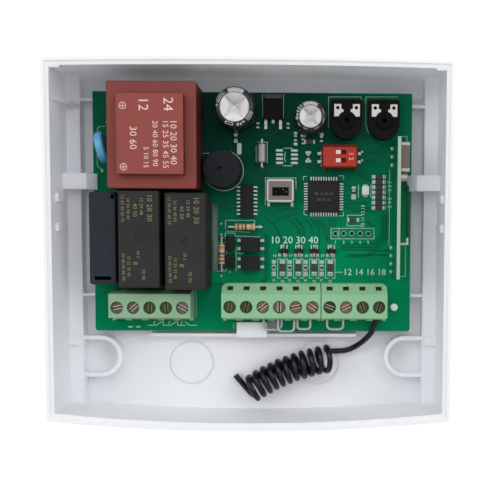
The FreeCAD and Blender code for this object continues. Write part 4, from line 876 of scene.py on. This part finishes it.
def ringTemplate(thickness):
    # a thin ring for printed circles and plated holes, a metre across
    deselectAll()
    bpy.ops.mesh.primitive_torus_add(major_radius=0.5, minor_radius=thickness / 2, major_segments=48,
                                     minor_segments=6)
    ring = bpy.context.object
    bpy.ops.object.mode_set(mode="EDIT")
    bpy.ops.mesh.select_all(action="SELECT")
    bpy.ops.transform.resize(value=(1, 1, 0.3))
    bpy.ops.object.mode_set(mode="OBJECT")
    return ring


ring = ringTemplate(0.1)
fineRing = ringTemplate(0.016)
buzzerRing = putCopy(fineRing, "ring", -9.3, 13.2, 0.02, 12.6, 12.6, 3.0)
finishPiece([buzzerRing], "buzzer_print", whiteInk)
markLook = {"places": ((-36.5, 30.2), (-36.4, 12.6)), "top": 19.8, "arm": 0.6, "ring": 1.9}


def crossLines(look):
    level, upright = [], []
    for x, y in look["places"]:
        level.append(((x - look["arm"], y, look["top"]), (x + look["arm"], y, look["top"])))
        upright.append(((x, y - look["arm"], look["top"]), (x, y + look["arm"], look["top"])))
    return level + upright


caseMarks = [putCopy(ring, "mark", x, y, markLook["top"] + 0.03, markLook["ring"], markLook["ring"], 0.6)
             for x, y in markLook["places"]]
caseMarks += strokes(bar, crossLines(markLook), printLook["crossWidth"])
finishPiece(caseMarks, "transformer_marks", pinkInk)
holeRings = [putCopy(ring, "hole", x, -6.4, 0.02, 1.5, 1.5, 1.5) for x in headerHoles]
finishPiece(holeRings, "header_rings", solder)

# plain numbers, each row a text, its size and its place

transformerRows = (("10 20 30 40", 2.0, -21.9, 19.8), ("15 25 35 45 55", 1.7, -24.2, 19.2),
                   ("20 40 60 80 90", 1.6, -27.2, 19.4), ("5 10 15", 1.5, -29.9, 15.4),
                   ("30 60", 2.2, -33.6, 21.0), ("24", 3.0, -23.4, 30.7), ("12", 3.0, -30.6, 30.7))
relayRows = (("10 20 30", 1.7, -29.8, 0.9), ("12 24 48", 1.1, -32.2, 1.4), ("40 50", 1.3, -34.1, 0.2),
             ("24 36 48 60", 1.0, -36.1, 0.6), ("12 30 45 60 75", 1.0, -37.8, 0.7),
             ("70 90", 1.1, -31.8, -19.0), ("15 25 35 45", 1.0, -36.1, -16.4),
             ("20 40 60 80 90", 1.0, -37.7, -16.7), ("8", 1.5, -34.2, -15.6), ("50 5", 0.9, -33.3, -12.9))
numberLook = {"transformerTop": 19.82, "relayTop": 15.62, "chipTop": 1.42, "switchTop": 5.62,
              "boardTop": 0.03, "relaySteps": ((0, 0), (13.85, -0.65)), "scale": 1.35, "depth": 0.02}
# from here on with the height, the turn and the ink as well
numberRows = [row + (numberLook["transformerTop"], -90, "pink") for row in transformerRows]
for shiftX, shiftY in numberLook["relaySteps"]:
    numberRows += [(text, size, x + shiftX, y + shiftY, numberLook["relayTop"], -90, "pale")
                   for text, size, x, y in relayRows]
numberRows += [
    ("48 12 60 24", 0.9, 22.3, 6.0, numberLook["chipTop"], 0, "faint"),
    ("30 24 16", 0.9, 22.3, 4.2, numberLook["chipTop"], 0, "faint"),
    ("1 2", 1.4, 30.6, 17.4, numberLook["switchTop"], -90, "bright"),
]
# text, size, place and turn of the numbers on the board itself
boardRows = [("10 20 30 40", 2.35, 13.05, -8.65, 0), ("12 14 16 18", 2.1, 35.45, -18.7, 0),
             ("3 5 7", 1.2, 43.3, 8.6, 90), ("2 4 6", 1.2, 43.3, 3.4, 90),
             ("10 11 12 13", 1.1, 34.8, -0.9, 90)]
boardRows += [(str(number), 1.0, x, -9.2, 0) for number, x in enumerate(headerHoles, 1)]
for index, x in enumerate(chipColumns):
    boardRows += [(str(12 + index), 0.9, x + 0.1, -11.7, 0), (str(16 + index), 0.9, x - 2.5, -13.5, 0),
                  (str(20 + index), 0.9, x, -21.7, 0), (str(24 + index), 0.8, x - 2.8, -21.3, 0)]
numberRows += [(text, size, x, y, numberLook["boardTop"], turn, "white")
               for text, size, x, y, turn in boardRows]


def numberPiece(text, size, x, y, z, turn):
    deselectAll()
    bpy.ops.object.text_add(location=(0, 0, 0))
    row = bpy.context.object
    row.data.body = text
    row.data.size = size * mm * numberLook["scale"]
    row.data.align_x = "CENTER"
    row.data.align_y = "CENTER"
    row.data.extrude = numberLook["depth"] * mm
    row.data.resolution_u = 2
    bpy.ops.object.convert(target="MESH")
    row = bpy.context.object
    row.data.transform(Matrix.Translation(onBoard(x, y, z)) @ Matrix.Rotation(math.radians(turn), 4, "Z"))
    return row


def drawNumbers():
    faintInk = makeMaterial("faintInk", (0.09, 0.09, 0.09))
    pieces = {"pink": ("transformer_numbers", pinkInk), "pale": ("relay_numbers", paleInk),
              "white": ("board_numbers", numberInk), "bright": ("switch_numbers", leverWhite),
              "faint": ("chip_numbers", faintInk)}
    for ink, (name, material) in pieces.items():
        parts = [numberPiece(*row[:-1]) for row in numberRows if row[-1] == ink]
        piece = joinAll(parts, name)
        setMaterial(piece, material)
        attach(piece, "controller")


drawNumbers()
print("plain numbers drawn")


# the kinds of chip part, each by width, length, height and the axis it lies along
chipSizes = {"large": (1.6, 3.4, 0.6, "y"), "small": (0.9, 1.7, 0.5, "y"), "level": (3.2, 1.2, 0.5, "x")}
chipPlaces = []
for x in chipColumns:
    chipPlaces += [(x, -17.3, "large"), (x - 2.7, -17.3, "small")]
chipPlaces += [(39.8, y, "level") for y in sideChips]
chipPlaces += [(x, y, "small") for x, y in ((1.5, 27.3), (11.1, 27.2), (13.4, 23.4), (15.8, 22.4),
                                            (21.5, 23.2), (31.8, 6.4), (-5.4, 23.4), (17.4, 17.6))]
chipPlaces += [(17.8, 22.3, "level"), (31.6, -2.1, "level")]
capLook = {"length": 0.5, "overlap": 0.2, "wider": 0.1, "higher": 0.06}


def endCaps(look):
    # tinned ends on every chip part
    parts = []
    for x, y, kind in chipPlaces:
        width, length, height, along = chipSizes[kind]
        top = height + look["higher"]
        for side in (-1, 1):
            if along == "x":
                place = x + side * (width / 2 - look["overlap"])
                parts.append(putCopy(pad, "cap", place, y, -padLook["sink"], look["length"],
                                     length + look["wider"], top))
            else:
                place = y + side * (length / 2 - look["overlap"])
                parts.append(putCopy(pad, "cap", x, place, -padLook["sink"], width + look["wider"],
                                     look["length"], top))
    finishPiece(parts, "chip_ends", tinned)


endCaps(capLook)
for template in (bar, dome, pad, ring, fineRing):
    discard(template)
print("chip ends placed")

# stage, light and camera

stageLook = {"floor": (0.93, 0.93, 0.93), "floorSize": 4.0, "floorDrop": 0.0002, "floorGlow": 0.42,
             "world": 0.62}
# the lamps all look at the tray's middle
lampLooks = {"topLamp": {"place": (0.0, 0.44, 0.80), "size": 0.90, "power": 2.2},
             "leftLamp": {"place": (-0.52, 0.22, 0.54), "size": 0.40, "power": 0.95},
             "rightLamp": {"place": (0.52, 0.18, 0.54), "size": 0.40, "power": 1.05}}
cameraLook = {"lens": 61.2, "shift": (-0.148, 0.095), "place": (16.82, 3.26, 278.37),
              "right": (0.99977, 0.00487, 0.02090), "up": (-0.00334, 0.99736, -0.07247),
              "back": (-0.02120, 0.07239, 0.99715)}


def makeStage(look):
    deselectAll()
    bpy.ops.mesh.primitive_plane_add(size=look["floorSize"], location=(0, 0, -look["floorDrop"]))
    floor = bpy.context.object
    floor.name = "stage_floor"
    settle(floor)
    material = bpy.data.materials.new("paleFloor")
    material.use_nodes = True
    made, link = material.node_tree.nodes, material.node_tree.links
    shader = made["Principled BSDF"]
    shader.inputs["Base Color"].default_value = (*look["floor"], 1.0)
    shader.inputs["Roughness"].default_value = 0.9
    shader.inputs["Emission Color"].default_value = (1, 1, 1, 1)
    rays = made.new("ShaderNodeLightPath")
    seen = mathNode(material, "MAXIMUM", rays.outputs["Is Camera Ray"], rays.outputs["Is Glossy Ray"])
    seen = mathNode(material, "MAXIMUM", seen, rays.outputs["Is Transmission Ray"])
    link.new(mathNode(material, "MULTIPLY", seen, look["floorGlow"]), shader.inputs["Emission Strength"])
    floor.data.materials.append(material)


def makeWorld(strength):
    world = bpy.data.worlds.new("paleWorld")
    bpy.context.scene.world = world
    world.use_nodes = True
    made, link = world.node_tree.nodes, world.node_tree.links
    background = made["Background"]
    background.inputs["Color"].default_value = (1, 1, 1, 1)
    rays = made.new("ShaderNodeLightPath")
    seen = made.new("ShaderNodeMath")
    seen.operation = "MAXIMUM"
    link.new(rays.outputs["Is Camera Ray"], seen.inputs[0])
    link.new(rays.outputs["Is Transmission Ray"], seen.inputs[1])
    level = made.new("ShaderNodeMapRange")
    level.inputs["To Min"].default_value = strength
    level.inputs["To Max"].default_value = 1.0
    link.new(seen.outputs[0], level.inputs["Value"])
    link.new(level.outputs["Result"], background.inputs["Strength"])


def makeLamp(name, look):
    data = bpy.data.lights.new(name, "AREA")
    data.shape = "DISK"
    data.size = look["size"]
    data.energy = look["power"]
    lamp = bpy.data.objects.new(name, data)
    bpy.context.scene.collection.objects.link(lamp)
    lamp.location = look["place"]
    towards = -Vector(look["place"])
    lamp.rotation_euler = towards.to_track_quat("-Z", "Y").to_euler()


def makeCamera(look):
    data = bpy.data.cameras.new("photoCamera")
    data.lens = look["lens"]
    data.sensor_width = 36.0
    data.shift_x, data.shift_y = look["shift"]
    data.clip_start = 0.01
    camera = bpy.data.objects.new("photoCamera", data)
    bpy.context.scene.collection.objects.link(camera)
    turn = Matrix((look["right"], look["up"], look["back"])).transposed().to_4x4()
    camera.matrix_world = Matrix.Translation(Vector(look["place"]) * mm) @ turn
    bpy.context.scene.camera = camera


makeStage(stageLook)
makeWorld(stageLook["world"])
for lampName, lampLook in lampLooks.items():
    makeLamp(lampName, lampLook)
makeCamera(cameraLook)
bpy.context.scene.view_settings.view_transform = "Standard"
print("stage, lamps and camera set")
